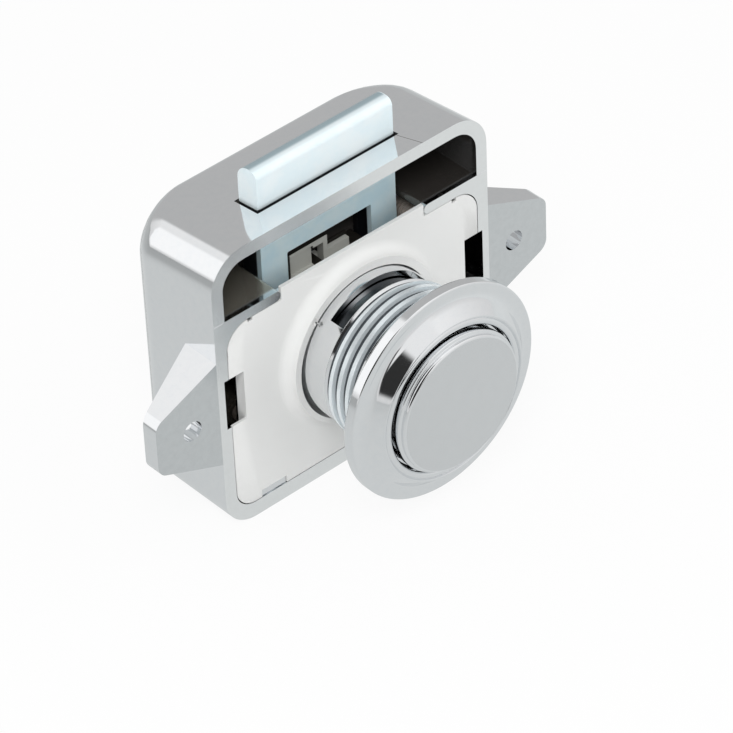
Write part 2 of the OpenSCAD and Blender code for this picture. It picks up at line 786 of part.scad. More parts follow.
// White block behind the neck that carries the knob spring and, with its tower, guides the bolt
module guide_block() {
    color(nylon) difference() {
        union() {
            block([-guide_w / 2, guide_front, -guide_h / 2],
                [guide_w / 2, guide_front + guide_front_t, guide_h / 2]);
            block([-bridge_half_w, guide_front, guide_hole_h / 2],
                [bridge_half_w, guide_back - seam_gap, bridge_top]);
            block([-bridge_half_w, guide_front, -guide_h / 2],
                [bridge_half_w, guide_back - seam_gap, -guide_hole_h / 2]);
            block([tower_left, bolt_mid - tower_t / 2, guide_hole_h / 2],
                [tower_right, bolt_mid + tower_t / 2, tower_up]);
            block([tower_right - eps, bolt_mid - tower_t / 2, guide_hole_h / 2],
                [ledge_right, bolt_mid + tower_t / 2, ledge_up]);
            block([tower_right - eps, bolt_mid + tower_t / 2 - lip_t, guide_hole_h / 2],
                [ledge_right + lip_t, bolt_mid + tower_t / 2, ledge_up + lip_t]);
        }
        tower_hollows();
        guide_channel();
        guide_screw_holes();
    }
}

// Shallow recess in the tower's front and the gap beside its right rib
module tower_hollows() {
    front = bolt_mid - tower_t / 2;
    block([tower_left + tower_wall, front - 1, bridge_top + tower_wall],
        [tower_gap_left, front + tower_recess, tower_up - tower_wall]);
    block([tower_gap_left, front - 1, bridge_top],
        [tower_right - 1.6 * tower_wall, front + tower_t + 1, tower_up - 2 * tower_wall]);
}

// Room for the plunger's block and, under it, for the follower
module guide_channel() {
    block([-guide_hole_w / 2, guide_front - 1, -guide_hole_h / 2],
        [guide_hole_w / 2, guide_end + 1, guide_hole_h / 2]);
    block([-follower_slot_w / 2, guide_front - 1, follower_slot_z],
        [follower_slot_w / 2, guide_end + 1, -guide_hole_h / 2 + eps]);
    translate([0, pivot_y, follower_z - follower_down - 0.1]) cylinder(r = follower_r + 0.05, h = 4);
}

// Holes and head rooms of the four guide screws
module guide_screw_holes() {
    both_sides() for (side = [-1, 1]) {
        rod_y(guide_screw_r + thread_gap, guide_back, guide_end + 1, guide_screw_x, side * guide_screw_z);
        rod_y(guide_head_r + guide_head_room, guide_front - 1, guide_seat,
            guide_screw_x, side * guide_screw_z);
    }
}

// Black bearing on the back of the case, in which the plunger's block slides
module rear_guide() {
    color(black_nylon) difference() {
        block([-guide_w / 2, guide_back, -guide_h / 2], [guide_w / 2, guide_end, guide_h / 2]);
        guide_channel();
        guide_screw_holes();
    }
}

// Four screws that hold the rear guide to the back of the case
module guide_screws() {
    color(steel) both_sides() for (side = [-1, 1]) {
        translate([guide_screw_x, guide_seat, side * guide_screw_z])
            screw_y(guide_screw_r, guide_head_r, guide_head_t, guide_screw_l);
    }
}

// Bent wire: one end turns in the guide block, the other runs in the track
module follower() {
    tip = [lane_x, track_y];
    reach = norm([lane_x, pivot_y - track_y]);
    turn = atan2(pivot_y - tip[1], -tip[0]);
    color(steel) {
        translate([0, pivot_y, follower_z - follower_down]) cylinder(r = follower_r, h = follower_down);
        translate([0, pivot_y, follower_z]) sphere(r = follower_r);
        translate([tip[0], tip[1], follower_z]) rotate([0, 0, turn]) rotate([0, 90, 0])
            cylinder(r = follower_r, h = reach);
        translate([tip[0], tip[1], follower_z]) sphere(r = follower_r);
        translate([tip[0], tip[1], follower_z]) cylinder(r = follower_r, h = tip_top - follower_z);
    }
}

// Flat spring under the follower, which holds its tip in the track
module follower_leaf() {
    color(steel) difference() {
        block([-leaf_w / 2, track_y, leaf_z], [leaf_w / 2, guide_end, leaf_z + leaf_t]);
        translate([0, pivot_y, leaf_z - 1]) cylinder(r = follower_r + 0.2, h = 2);
    }
}

housing();
front_plate();
neck();
foot_screws();
rose();
knob();
plunger();
knob_screw();
knob_spring();
bolt();
drive_pin();
pin_clip();
bolt_spring_left();
bolt_spring_right();
guide_block();
rear_guide();
guide_screws();
follower();
follower_leaf();
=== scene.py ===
"""Looks of a push-button cabinet latch: a chromed case, a zinc bolt and a chromed knob.

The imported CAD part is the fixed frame. The pieces here stand for its nodes, with the rounded
edges, threads and finishes of the real latch. Sizes in the classes are millimetres, in the
frame of the CAD part; meshes are metres.
"""

import logging  # noqa: E402
import math  # noqa: E402
from dataclasses import dataclass  # noqa: E402
from enum import Enum  # noqa: E402
from typing import Callable, Iterable, Optional, Sequence, Union  # noqa: E402

import bmesh  # noqa: E402
import bpy  # noqa: E402
from mathutils import Matrix, Vector  # noqa: E402


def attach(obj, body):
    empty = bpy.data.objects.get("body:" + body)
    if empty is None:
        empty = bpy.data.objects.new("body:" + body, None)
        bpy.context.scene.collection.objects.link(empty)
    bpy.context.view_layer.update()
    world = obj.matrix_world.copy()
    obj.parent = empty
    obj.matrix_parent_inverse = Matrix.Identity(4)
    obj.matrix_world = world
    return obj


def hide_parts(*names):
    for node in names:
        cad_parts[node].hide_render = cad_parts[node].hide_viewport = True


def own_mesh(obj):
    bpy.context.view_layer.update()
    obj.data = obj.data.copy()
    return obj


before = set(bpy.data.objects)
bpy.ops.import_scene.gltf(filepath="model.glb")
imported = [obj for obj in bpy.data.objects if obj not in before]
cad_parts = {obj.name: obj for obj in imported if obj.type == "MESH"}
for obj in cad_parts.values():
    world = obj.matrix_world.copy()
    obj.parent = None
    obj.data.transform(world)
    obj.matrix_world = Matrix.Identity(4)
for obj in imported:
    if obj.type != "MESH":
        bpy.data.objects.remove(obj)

log = logging.getLogger("latch")

MM = 0.001
ROOF_FALL = 0.105  # the case's top falls towards its back, mm per mm
SIDES = (-1, 1)  # left and right, or lower and upper
SCREW_X, SCREW_Z = 14.6, 11.0  # the four screws of the neck's foot
SCREW_BORE = 1.28
Pair = tuple[float, float]
Triple = tuple[float, float, float]
Grain = Triple  # a noise: scale per metre, octaves, weight of the finer ones
Profile = list[Pair]


class Body(Enum):
    """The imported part's bodies that the pieces here move with."""

    CASE = "case"
    BUTTON = "button"
    SLIDER = "slider"


class Axis(Enum):
    """A main direction, as an index into a point."""

    X = 0
    Y = 1
    Z = 2


def operator(operation: str, swap: bool = False) -> Callable[..., "Wire"]:
    """A method of Wire that adds one Math node.

    Args:
        operation: The node's operation.
        swap: Whether the wire is the second of its inputs.

    Returns:
        The method. It takes the other input, a number or a wire, if there is one.
    """

    def method(wire: "Wire", *others: object) -> "Wire":
        """The wire, worked on by the node."""
        values = (*others, wire) if swap else (wire, *others)
        return wire.shader.add("ShaderNodeMath", {"operation": operation}, dict(enumerate(values)))

    return method


class Wire:
    """An output socket that takes part in Python sums and products."""

    def __init__(self, shader: "Shader", socket: bpy.types.NodeSocket) -> None:
        """Keeps the socket and the shader that it belongs to."""
        self.shader = shader
        self.socket = socket

    __add__ = __radd__ = operator("ADD")
    __mul__ = __rmul__ = operator("MULTIPLY")
    __sub__ = operator("SUBTRACT")
    __rsub__ = operator("SUBTRACT", swap=True)
    absolute = operator("ABSOLUTE")
    power = operator("POWER")
    least = operator("MINIMUM")
    most = operator("MAXIMUM")
    arctan2 = operator("ARCTAN2")
    arcsine = operator("ARCSINE")

    def step(self, low: float, high: float, out_low: float = 0.0, out_high: float = 1.0) -> "Wire":
        """A smooth step.

        Args:
            low: Value at which the step starts.
            high: Value at which it ends.
            out_low: Output before the step.
            out_high: Output after it.

        Returns:
            The stepped value.
        """
        return self.shader.add(
            "ShaderNodeMapRange",
            {"interpolation_type": "SMOOTHSTEP"},
            {"Value": self, "From Min": low, "From Max": high,
             "To Min": out_low, "To Max": out_high},
        )

    def above(self, level: float, soft: float = 0.04) -> "Wire":
        """1 above a level and 0 below it, with a soft edge over the level."""
        return self.step(level, level + soft)

    def below(self, level: float, soft: float = 0.04) -> "Wire":
        """1 below a level and 0 above it, with a soft edge over the level."""
        return self.step(level, level + soft, 1, 0)


Colour = Union[Triple, Wire]


class Shader:
    """The nodes of one material or world."""

    def __init__(self, owner: bpy.types.ID) -> None:
        """Clears the owner's nodes.

        Args:
            owner: A material or a world.
        """
        owner.use_nodes = True
        self.tree = owner.node_tree
        self.tree.nodes.clear()

    def add(self, kind: str, settings: Optional[dict] = None, inputs: Optional[dict] = None,
            out: object = 0) -> Wire:
        """Adds one node.

        Args:
            kind: The node's type.
            settings: Its settings, such as an operation.
            inputs: Values or wires for its sockets, by name or number.
            out: Name or number of the output that is returned.

        Returns:
            The output, as a wire.
        """
        node = self.tree.nodes.new(kind)
        for key, value in (settings or {}).items():
            setattr(node, key, value)
        for key, value in (inputs or {}).items():
            if isinstance(value, Wire):
                self.tree.links.new(value.socket, node.inputs[key])
            else:
                node.inputs[key].default_value = value
        return Wire(self, node.outputs[out])

    def place(self) -> Wire:
        """The point on the surface, in the object's metres."""
        return self.add("ShaderNodeTexCoord", out="Object")

    def axes(self, point: Wire, scale: float = 1.0) -> list[Wire]:
        """The three coordinates of a point, times a scale."""
        return [self.add("ShaderNodeSeparateXYZ", inputs={0: point}, out=which.value) * scale
                for which in Axis]

    def noise(self, point: Wire, grain: Grain, stretch: Triple = (1, 1, 1)) -> Wire:
        """Noise between 0 and 1.

        Args:
            point: Where it is read.
            grain: Its scale, octaves and the weight of the finer ones.
            stretch: Scale along each axis.

        Returns:
            The noise.
        """
        mapped = self.add("ShaderNodeMapping", inputs={"Vector": point, "Scale": stretch})
        scale, detail, rough = grain
        return self.add("ShaderNodeTexNoise", {"noise_dimensions": "3D"},
                        {"Vector": mapped, "Scale": scale, "Detail": detail, "Roughness": rough})

    def blend(self, amount: Wire, first: Colour, second: Colour) -> Wire:
        """A colour between two, each of them plain or linked."""
        a, b = (end if isinstance(end, Wire) else (*end, 1) for end in (first, second))
        return self.add("ShaderNodeMix", {"data_type": "RGBA"}, {0: amount, 6: a, 7: b}, out=2)

    def bump(self, height: Wire, depth_mm: float, strength: float = 1.0) -> Wire:
        """A Bump node that is fed by a height of 0 to 1."""
        return self.add("ShaderNodeBump", None,
                        {"Height": height, "Distance": depth_mm * MM, "Strength": strength})

    def surface(self, **values: object) -> None:
        """Ends a material with one Principled shader; spaces in socket names are underscores."""
        inputs = {key.replace("_", " "): value for key, value in values.items()}
        shader = self.add("ShaderNodeBsdfPrincipled", None, inputs)
        self.add_output("ShaderNodeOutputMaterial", shader)

    def add_output(self, kind: str, shader: Wire) -> None:
        """Links a shader to the output."""
        output = self.tree.nodes.new(kind)
        self.tree.links.new(shader.socket, output.inputs[0])


Mask = Callable[[Shader, Wire], Wire]


@dataclass(frozen=True)
class Finish:
    """A material; each kind paints its own surface."""

    name: str

    def paint(self, s: Shader, point: Wire) -> dict[str, object]:
        """The Principled shader's inputs, with underscores for spaces.

        Args:
            s: The material's shader.
            point: The point on the surface, in metres.

        Returns:
            A value or wire for each input.
        """
        raise NotImplementedError

    def material(self) -> bpy.types.Material:
        """Builds the material."""
        made = bpy.data.materials.new(self.name)
        s = Shader(made)
        s.surface(**self.paint(s, s.place()))
        return made


@dataclass(frozen=True)
class Chrome(Finish):
    """Bright chrome plate on a casting or a turned piece."""

    name: str = "chrome_plate"
    colour: Triple = (0.86, 0.87, 0.88)
    tint: Triple = (0.84, 0.855, 0.87)
    roughness: float = 0.06
    spread: float = 0.03
    ripple_mm: float = 0.006
    ripple: Grain = (150.0, 2.0, 0.4)
    haze: Grain = (900.0, 4.0, 0.6)
    speck: Grain = (5200.0, 2.0, 0.5)
    speck_rough: float = 0.05
    speck_relief: float = 0.02
    # Painted shade: a mask of where it falls, its colour from left to right, less metal and more
    # roughness under it.
    painted_shade: Optional[Mask] = None
    shade_left: Triple = (0.36, 0.34, 0.29)
    shade_right: Triple = (0.12, 0.11, 0.10)
    shade_reach_mm: float = 20.0
    shade_depth: float = 0.25
    shade_rough: float = 0.12

    def paint(self, s: Shader, point: Wire) -> dict[str, object]:
        """Slow ripples of the casting, faint haze, fine specks and painted shade on masked parts.
        """
        slow, haze, specks = (s.noise(point, g) for g in (self.ripple, self.haze, self.speck))
        rough = self.roughness + haze * self.spread + specks.step(0.66, 0.8) * self.speck_rough
        colour = s.blend(haze.step(0.35, 0.7), self.colour, self.tint)
        metal: object = 1.0
        if self.painted_shade is not None:
            # Paints shade over the masked parts.
            mask = self.painted_shade(s, point)
            across = s.axes(point, 1 / MM)[0].step(-self.shade_reach_mm, self.shade_reach_mm)
            colour = s.blend(mask, colour, s.blend(across, self.shade_left, self.shade_right))
            rough = rough + mask * self.shade_rough
            if self.shade_depth > 0:
                metal = 1 - mask * self.shade_depth
        return dict(Base_Color=colour, Metallic=metal, Roughness=rough,
                    Normal=s.bump(slow + specks * self.speck_relief, self.ripple_mm))


def inside_case(s: Shader, point: Wire) -> Wire:
    """Where shade is painted on the case: 1 in its cavity and slot, less on the mould's parting
    line, which gets a dark seam, 0 on its outside.
    """
    x, y, z = s.axes(point, 1 / MM)
    level = z + y * ROOF_FALL
    side = x.absolute() + (y - 15.0).most(0.0) * 0.6
    # Painted shade in the cavity and in the slot.
    cavity = side.below(23.45, 0.07) * y.above(0.6, 0.6) * y.below(18.3, 0.3)
    cavity = cavity * level.below(24.32, 0.1) * z.above(-19.12, 0.1)
    slot = x.absolute().below(12.96, 0.06) * y.above(4.36, 0.05) * y.below(9.39, 0.05)
    slot = slot * level.below(26.2, 0.1)
    off = (x - (13.55 - y * 0.22)).absolute()
    parting = off.below(0.05) * y.below(4.2, 0.2) * z.above(25.6, 0.2)
    return cavity.most(slot).most(parting * 0.7)


def knob_tube(s: Shader, point: Wire) -> Wire:
    """Painted shade: 1 deep on the knob's tube, 0 near its head, less along one strip where a
    highlight is painted.
    """
    x, y, _ = s.axes(point, 1 / MM)
    highlight_streak = x.above(-5.2, 2.2) * x.below(-2.8, 2.4)
    return y.above(-9.8, 0.4) * (1 - highlight_streak * 0.45)


@dataclass(frozen=True)
class Thread(Finish):
    """Bright plate on the neck's thread, with painted shade at the root of its grooves."""

    name: str = "thread_plate"
    colour: Triple = (0.88, 0.94, 0.97)
    # Painted shade at the roots of the grooves.
    root: Triple = (0.08, 0.09, 0.10)
    root_r: float = 11.50
    crest_r: float = 11.62
    roughness: float = 0.2
    metallic: float = 0.4
    line: Grain = (3000.0, 2.0, 0.5)
    line_mm: float = 0.008

    def paint(self, s: Shader, point: Wire) -> dict[str, object]:
        """Bright ridges, painted shade in the grooves and fine lines around the thread."""
        x, _, z = s.axes(point, 1 / MM)
        height = (x * x + z * z).power(0.5).step(self.root_r, self.crest_r)
        lines = s.noise(point, self.line, (0.05, 1.0, 0.05))
        return dict(Base_Color=s.blend(height, self.root, self.colour), Metallic=self.metallic,
                    Roughness=self.roughness + lines * 0.08,
                    Normal=s.bump(lines, self.line_mm, 0.5))


@dataclass(frozen=True)
class Zinc(Finish):
    """Bright blue zinc plate on folded sheet steel."""

    name: str = "zinc_plate"
    colour: Triple = (0.83, 0.95, 0.99)
    cloud: Triple = (0.90, 0.98, 1.0)
    # Painted shade on the lower part of the bolt, inside the case.
    low: Triple = (0.68, 0.88, 0.96)
    low_shade_cloud: Triple = (0.78, 0.93, 0.97)
    # Painted shade on the rounded back of the nose.
    crown_shade: Triple = (0.36, 0.46, 0.50)
    # Painted shade, near black, in the slot's gap, in nooks and inside the bolt.
    dark: Triple = (0.012, 0.014, 0.017)
    roughness: float = 0.24
    metallic: float = 0.3
    nook_shade_mm: float = 1.0
    patch: Grain = (260.0, 4.0, 0.6)
    line: Grain = (1400.0, 3.0, 0.6)
    pit: Grain = (2600.0, 2.0, 0.5)
    pit_mm: float = 0.02

    def paint(self, s: Shader, point: Wire) -> dict[str, object]:
        """Clouded plating, painted shade low down, on the nose's back and in nooks, drawn lines and
        small pits.
        """
        x, y, z = s.axes(point, 1 / MM)
        cloud = s.noise(point, self.patch)
        lines = s.noise(point, self.line, (1.0, 1.0, 0.06))
        pits = s.noise(point, self.pit).step(0.60, 0.72)
        patches = cloud.step(0.3, 0.7)
        plate = s.blend(patches, self.colour, self.cloud)
        # Paints shade on the bolt below the case's top.
        plate = s.blend(z.below(23.5, 1.7), plate, s.blend(patches, self.low, self.low_shade_cloud))
        # Paints shade on the back of the nose's top.
        crown_shade = y.above(6.1, 0.7) * z.above(29.6, 1.2) * x.absolute().below(12.32, 0.14)
        plate = s.blend(crown_shade, plate, self.crown_shade)
        # Paints shade where ambient occlusion finds a nook, and on the inside of the bolt.
        open_share = s.add("ShaderNodeAmbientOcclusion", {"samples": 48, "only_local": False},
                           {"Distance": self.nook_shade_mm * MM}, out="AO")
        nook_shade = open_share.below(0.57, 0.10).most(y.above(5.7, 0.3) * z.below(22.5, 1.0))
        return dict(Base_Color=s.blend(nook_shade, plate, self.dark), Metallic=self.metallic,
                    Roughness=self.roughness + cloud * 0.12 + lines * 0.06,
                    Normal=s.bump(lines * 0.5 - pits * 0.5, self.pit_mm, 0.6))


def tower_shade(s: Shader, point: Wire) -> Wire:
    """1 where the guide's tower lies in the dark behind its front edges, 0 on its lit faces."""
    x, y, z = s.axes(point, 1 / MM)
    gap = x.above(-2.02) * x.below(-0.14)
    behind = y.above(6.30) * z.above(13.80).most(gap)
    ledge = x.above(0.62) * y.above(6.95, 0.1)
    return behind.most(x.below(-6.36)).most(x.above(4.98)).most(ledge)


@dataclass(frozen=True)
class Nylon(Finish):
    """Moulded nylon, with the faint texture of its mould."""

    name: str = "white_nylon"
    colour: Triple = (0.81, 0.815, 0.805)
    shade: Triple = (0.78, 0.785, 0.775)
    roughness: float = 0.42
    # Painted shade: where it falls and its colour.
    nook_shade: Optional[Mask] = None
    nook_shade_colour: Triple = (0.02, 0.018, 0.015)
    flow: Grain = (70.0, 3.0, 0.5)
    grain: Grain = (3800.0, 3.0, 0.6)
    grain_rough: float = 0.12
    grain_mm: float = 0.012

    def paint(self, s: Shader, point: Wire) -> dict[str, object]:
        """Slight flow marks, a fine grain, an even sheen and painted shade where a mask is given.
        """
        flow, grain = s.noise(point, self.flow), s.noise(point, self.grain)
        colour = s.blend(flow.step(0.35, 0.75), self.colour, self.shade)
        # Paints shade where the mask asks for it.
        if self.nook_shade is not None:
            colour = s.blend(self.nook_shade(s, point), colour, self.nook_shade_colour)
        return dict(Base_Color=colour, Roughness=self.roughness + grain * self.grain_rough,
                    Normal=s.bump(grain + flow * 0.5, self.grain_mm, 0.5))


@dataclass(frozen=True)
class Steel(Finish):
    """Plain bright steel of pins, screws and springs."""

    name: str = "bright_steel"
    colour: Triple = (0.62, 0.61, 0.59)
    stain: Triple = (0.44, 0.41, 0.38)
    roughness: float = 0.2
    along: Triple = (1.0, 0.08, 1.0)
    metallic: float = 1.0
    spot: Grain = (700.0, 4.0, 0.6)
    line: Grain = (4200.0, 2.0, 0.5)
    line_mm: float = 0.01

    def paint(self, s: Shader, point: Wire) -> dict[str, object]:
        """Drawn lines along the wire or shank and slight staining."""
        stain = s.noise(point, self.spot)
        lines = s.noise(point, self.line, self.along)
        return dict(Base_Color=s.blend(stain.step(0.45, 0.75), self.colour, self.stain),
                    Metallic=self.metallic, Roughness=self.roughness + stain * 0.2,
                    Normal=s.bump(lines, self.line_mm, 0.5))


def arc(cx: float, cy: float, r: float, start: float, end: float, steps: int = 8) -> Profile:
    """Points of an arc.

    Args:
        cx: Centre, first coordinate.
        cy: Centre, second coordinate.
        r: Radius.
        start: First angle in degrees.
        end: Last angle in degrees.
        steps: Number of chords.

    Returns:
        The points, both ends included.
    """
    turns = [math.radians(start + (end - start) * i / steps) for i in range(steps + 1)]
    return [(cx + r * math.cos(a), cy + r * math.sin(a)) for a in turns]


def rounded(corners: Sequence[Triple], steps: int = 5) -> Profile:
    """Rounds the corners of a line.

    Args:
        corners: Points with the radius that each gets; 0 keeps it sharp.
        steps: Chords of each rounding.

    Returns:
        The rounded line.
    """
    line: Profile = []
    for i, (x, y, r) in enumerate(corners):
        here = Vector((x, y))
        if r == 0 or i in (0, len(corners) - 1):
            line.append((x, y))
            continue
        before = (Vector(corners[i - 1][:2]) - here).normalized()
        after = (Vector(corners[i + 1][:2]) - here).normalized()
        half = before.angle(after) / 2
        centre = here + (before + after).normalized() * (r / math.sin(half))
        first = here + before * (r / math.tan(half)) - centre
        last = here + after * (r / math.tan(half)) - centre
        sweep = first.angle_signed(last)
        for k in range(steps + 1):
            line.append(tuple(centre + Matrix.Rotation(-sweep * k / steps, 2) @ first))
    return line


PlaceTest = Callable[[Vector, Vector], bool]


class Stock:
    """One piece on the bench, in millimetres, shaped with Blender's own edit tools."""

    def __init__(self, obj: bpy.types.Object) -> None:
        """Takes an object that was just added."""
        self.obj = obj

    @staticmethod
    def _clear() -> None:
        """Leaves edit mode and deselects everything."""
        if bpy.context.object and bpy.context.object.mode != "OBJECT":
            bpy.ops.object.mode_set(mode="OBJECT")
        bpy.ops.object.select_all(action="DESELECT")

    @classmethod
    def _added(cls) -> "Stock":
        """Takes the object that was just added and applies its place."""
        bpy.ops.object.transform_apply(location=True, rotation=True, scale=True)
        return cls(bpy.context.object)

    @classmethod
    def block(cls, low: Triple, high: Triple) -> "Stock":
        """A block between two corners, in any order."""
        cls._clear()
        lo, hi = (Vector(tuple(map(pick, low, high))) for pick in (min, max))
        bpy.ops.mesh.primitive_cube_add(size=1, location=(lo + hi) / 2, scale=hi - lo)
        return cls._added()

    @classmethod
    def rod(cls, axis: Axis, r: float, start: float, end: float, at: Pair = (0, 0),
            vertices: int = 48) -> "Stock":
        """A rod along an axis.

        Args:
            axis: Its direction.
            r: Radius.
            start: Where it begins along the axis.
            end: Where it ends.
            at: Its other two coordinates, in order.
            vertices: Number of sides.

        Returns:
            The piece.
        """
        cls._clear()
        centre = list(at)
        centre.insert(axis.value, (start + end) / 2)
        turn = {Axis.X: (0, math.pi / 2, 0), Axis.Y: (math.pi / 2, 0, 0), Axis.Z: (0, 0, 0)}[axis]
        bpy.ops.mesh.primitive_cylinder_add(vertices=vertices, radius=r, depth=abs(end - start),
                                            location=centre, rotation=turn)
        return cls._added()

    @classmethod
    def turned(cls, profile: Profile, closed: bool = True, vertices: int = 128) -> "Stock":
        """A piece turned about the knob's axis, made by extruding one ring along its profile.

        Args:
            profile: Radius and Y of each ring.
            closed: Whether the last ring joins the first; if not, both ends are capped.
            vertices: Number of points in a ring.

        Returns:
            The piece.
        """
        cls._clear()
        r, y = profile[0]
        bpy.ops.mesh.primitive_circle_add(vertices=vertices, radius=r, location=(0, y, 0),
                                          rotation=(math.pi / 2, 0, 0),
                                          fill_type="NOTHING" if closed else "NGON")
        piece = cls._added()
        piece.edit_all()
        if not closed:
            bpy.ops.mesh.select_mode(type="FACE")
        for new_r, new_y in profile[1:] + (profile[:1] if closed else []):
            bpy.ops.mesh.extrude_region_move(TRANSFORM_OT_translate={"value": (0, new_y - y, 0)})
            bpy.ops.transform.resize(value=(new_r / r, 1, new_r / r), center_override=(0, new_y, 0))
            r, y = new_r, new_y
        piece.weld()
        return piece

    def _focus(self, *others: "Stock") -> None:
        """Selects this piece and some others, and makes this one active."""
        self._clear()
        for piece in (*others, self):
            piece.obj.select_set(True)
        bpy.context.view_layer.objects.active = self.obj

    def edit(self) -> None:
        """Enters edit mode with nothing selected."""
        if self.obj.mode != "EDIT":
            self._focus()
            bpy.ops.object.mode_set(mode="EDIT")
            bpy.ops.mesh.select_mode(type="VERT")
        bpy.ops.mesh.select_all(action="DESELECT")

    def edit_all(self) -> None:
        """Enters edit mode with everything selected."""
        self.edit()
        bpy.ops.mesh.select_all(action="SELECT")

    @staticmethod
    def leave() -> None:
        """Goes back to object mode."""
        bpy.ops.object.mode_set(mode="OBJECT")

    def weld(self) -> None:
        """Merges doubled points and turns all faces outwards."""
        self.edit_all()
        bpy.ops.mesh.remove_doubles(threshold=1e-4)
        bpy.ops.mesh.normals_make_consistent(inside=False)
        self.leave()

    def _pick(self, kind: str, test: Callable[[object], bool]) -> None:
        """Selects the faces or the edges that pass a test."""
        self.edit()
        bpy.ops.mesh.select_mode(type=kind)
        mesh = bmesh.from_edit_mesh(self.obj.data)
        for item in mesh.faces if kind == "FACE" else mesh.edges:
            item.select_set(test(item))
        bmesh.update_edit_mesh(self.obj.data)

    def pick_faces(self, test: PlaceTest) -> None:
        """Selects the faces whose centre and normal pass a test."""
        self._pick("FACE", lambda face: test(face.calc_center_median(), face.normal))

    def pick_edges(self, test: PlaceTest) -> None:
        """Selects the edges whose middle and direction pass a test."""

        def passes(edge: bmesh.types.BMEdge) -> bool:
            """Whether the edge's middle and direction pass."""
            a, b = (v.co for v in edge.verts)
            return test((a + b) / 2, (b - a).normalized())

        self._pick("EDGE", passes)

    def round_edges(self, axis: Axis, radius: float, segments: int,
                    where: Callable[[Vector], bool] = lambda p: True) -> "Stock":
        """Rounds the edges that run along an axis.

        Args:
            axis: Direction of the edges.
            radius: Radius of the rounding.
            segments: Number of its strips.
            where: Test on an edge's middle.

        Returns:
            The piece itself.
        """
        self.pick_edges(lambda p, d: abs(d[axis.value]) > 0.98 and where(p))
        bpy.ops.mesh.bevel(offset=radius, segments=segments, profile=0.5, affect="EDGES",
                           clamp_overlap=False)
        self.leave()
        return self

    def push(self, shift: Triple) -> None:
        """Extrudes the selected faces by a shift."""
        bpy.ops.mesh.extrude_region_move(TRANSFORM_OT_translate={"value": shift})

    def scale_to(self, factor: Triple, centre: Triple) -> None:
        """Scales the selection about a point."""
        bpy.ops.transform.resize(value=factor, center_override=centre)

    def modify(self, kind: str, **settings: object) -> "Stock":
        """Adds a modifier and applies it."""
        self._focus()
        modifier = self.obj.modifiers.new(kind.lower(), kind)
        for key, value in settings.items():
            setattr(modifier, key, value)
        bpy.ops.object.modifier_apply(modifier=modifier.name)
        return self

    def join(self, *others: "Stock") -> "Stock":
        """Fuses other pieces into this one."""
        return self._boolean("UNION", others)

    def cut(self, *others: "Stock") -> "Stock":
        """Cuts other pieces out of this one."""
        return self._boolean("DIFFERENCE", others)

    def _boolean(self, operation: str, others: Iterable["Stock"]) -> "Stock":
        """Applies one Boolean per tool and removes the tool."""
        for other in others:
            self.modify("BOOLEAN", operation=operation, solver="EXACT", object=other.obj)
            other.remove()
        return self

    def remove(self) -> None:
        """Takes the piece off the bench."""
        mesh = self.obj.data
        bpy.data.objects.remove(self.obj)
        bpy.data.meshes.remove(mesh)

    def copy(self, turn: Matrix) -> "Stock":
        """A copy with its own mesh, moved or turned; a mirrored one has its faces turned back."""
        made = self.obj.copy()
        made.data = self.obj.data.copy()
        bpy.context.collection.objects.link(made)
        made.data.transform(turn)
        if turn.determinant() < 0:
            made.data.flip_normals()
        return Stock(made)

    def gather(self, *others: "Stock") -> "Stock":
        """Puts other pieces into this object without fusing them."""
        self._focus(*others)
        bpy.ops.object.join()
        return self

    def soften(self, width: float, segments: int = 2, angle: float = 32.0) -> "Stock":
        """Rounds all edges that are sharper than an angle."""
        return self.modify("BEVEL", width=width, segments=segments, limit_method="ANGLE",
                           angle_limit=math.radians(angle), use_clamp_overlap=True,
                           harden_normals=False, miter_outer="MITER_ARC")

    def done(self, name: str, material: bpy.types.Material, body: Body, slot: str,
             nodes: Sequence[str], smooth: float = 35.0) -> bpy.types.Object:
        """Takes the piece to metres and onto its body.

        Args:
            name: Name of the finished piece.
            material: Its finish.
            body: The body that it moves with.
            slot: Not used.
            nodes: CAD nodes that it stands for.
            smooth: Angle in degrees below which edges are shaded smooth.

        Returns:
            The finished object.
        """
        self._focus()
        bpy.ops.object.shade_smooth_by_angle(angle=math.radians(smooth))
        self.modify("WEIGHTED_NORMAL", weight=100, keep_sharp=True)
        self.obj.name = self.obj.data.name = name
        self.obj.data.transform(Matrix.Scale(MM, 4))
        self.obj.data.materials.clear()
        self.obj.data.materials.append(material)
        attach(self.obj, body.value)
        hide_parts(*nodes)
        log.info("%s: %d faces, on %s", name, len(self.obj.data.polygons), body.value)
        return self.obj


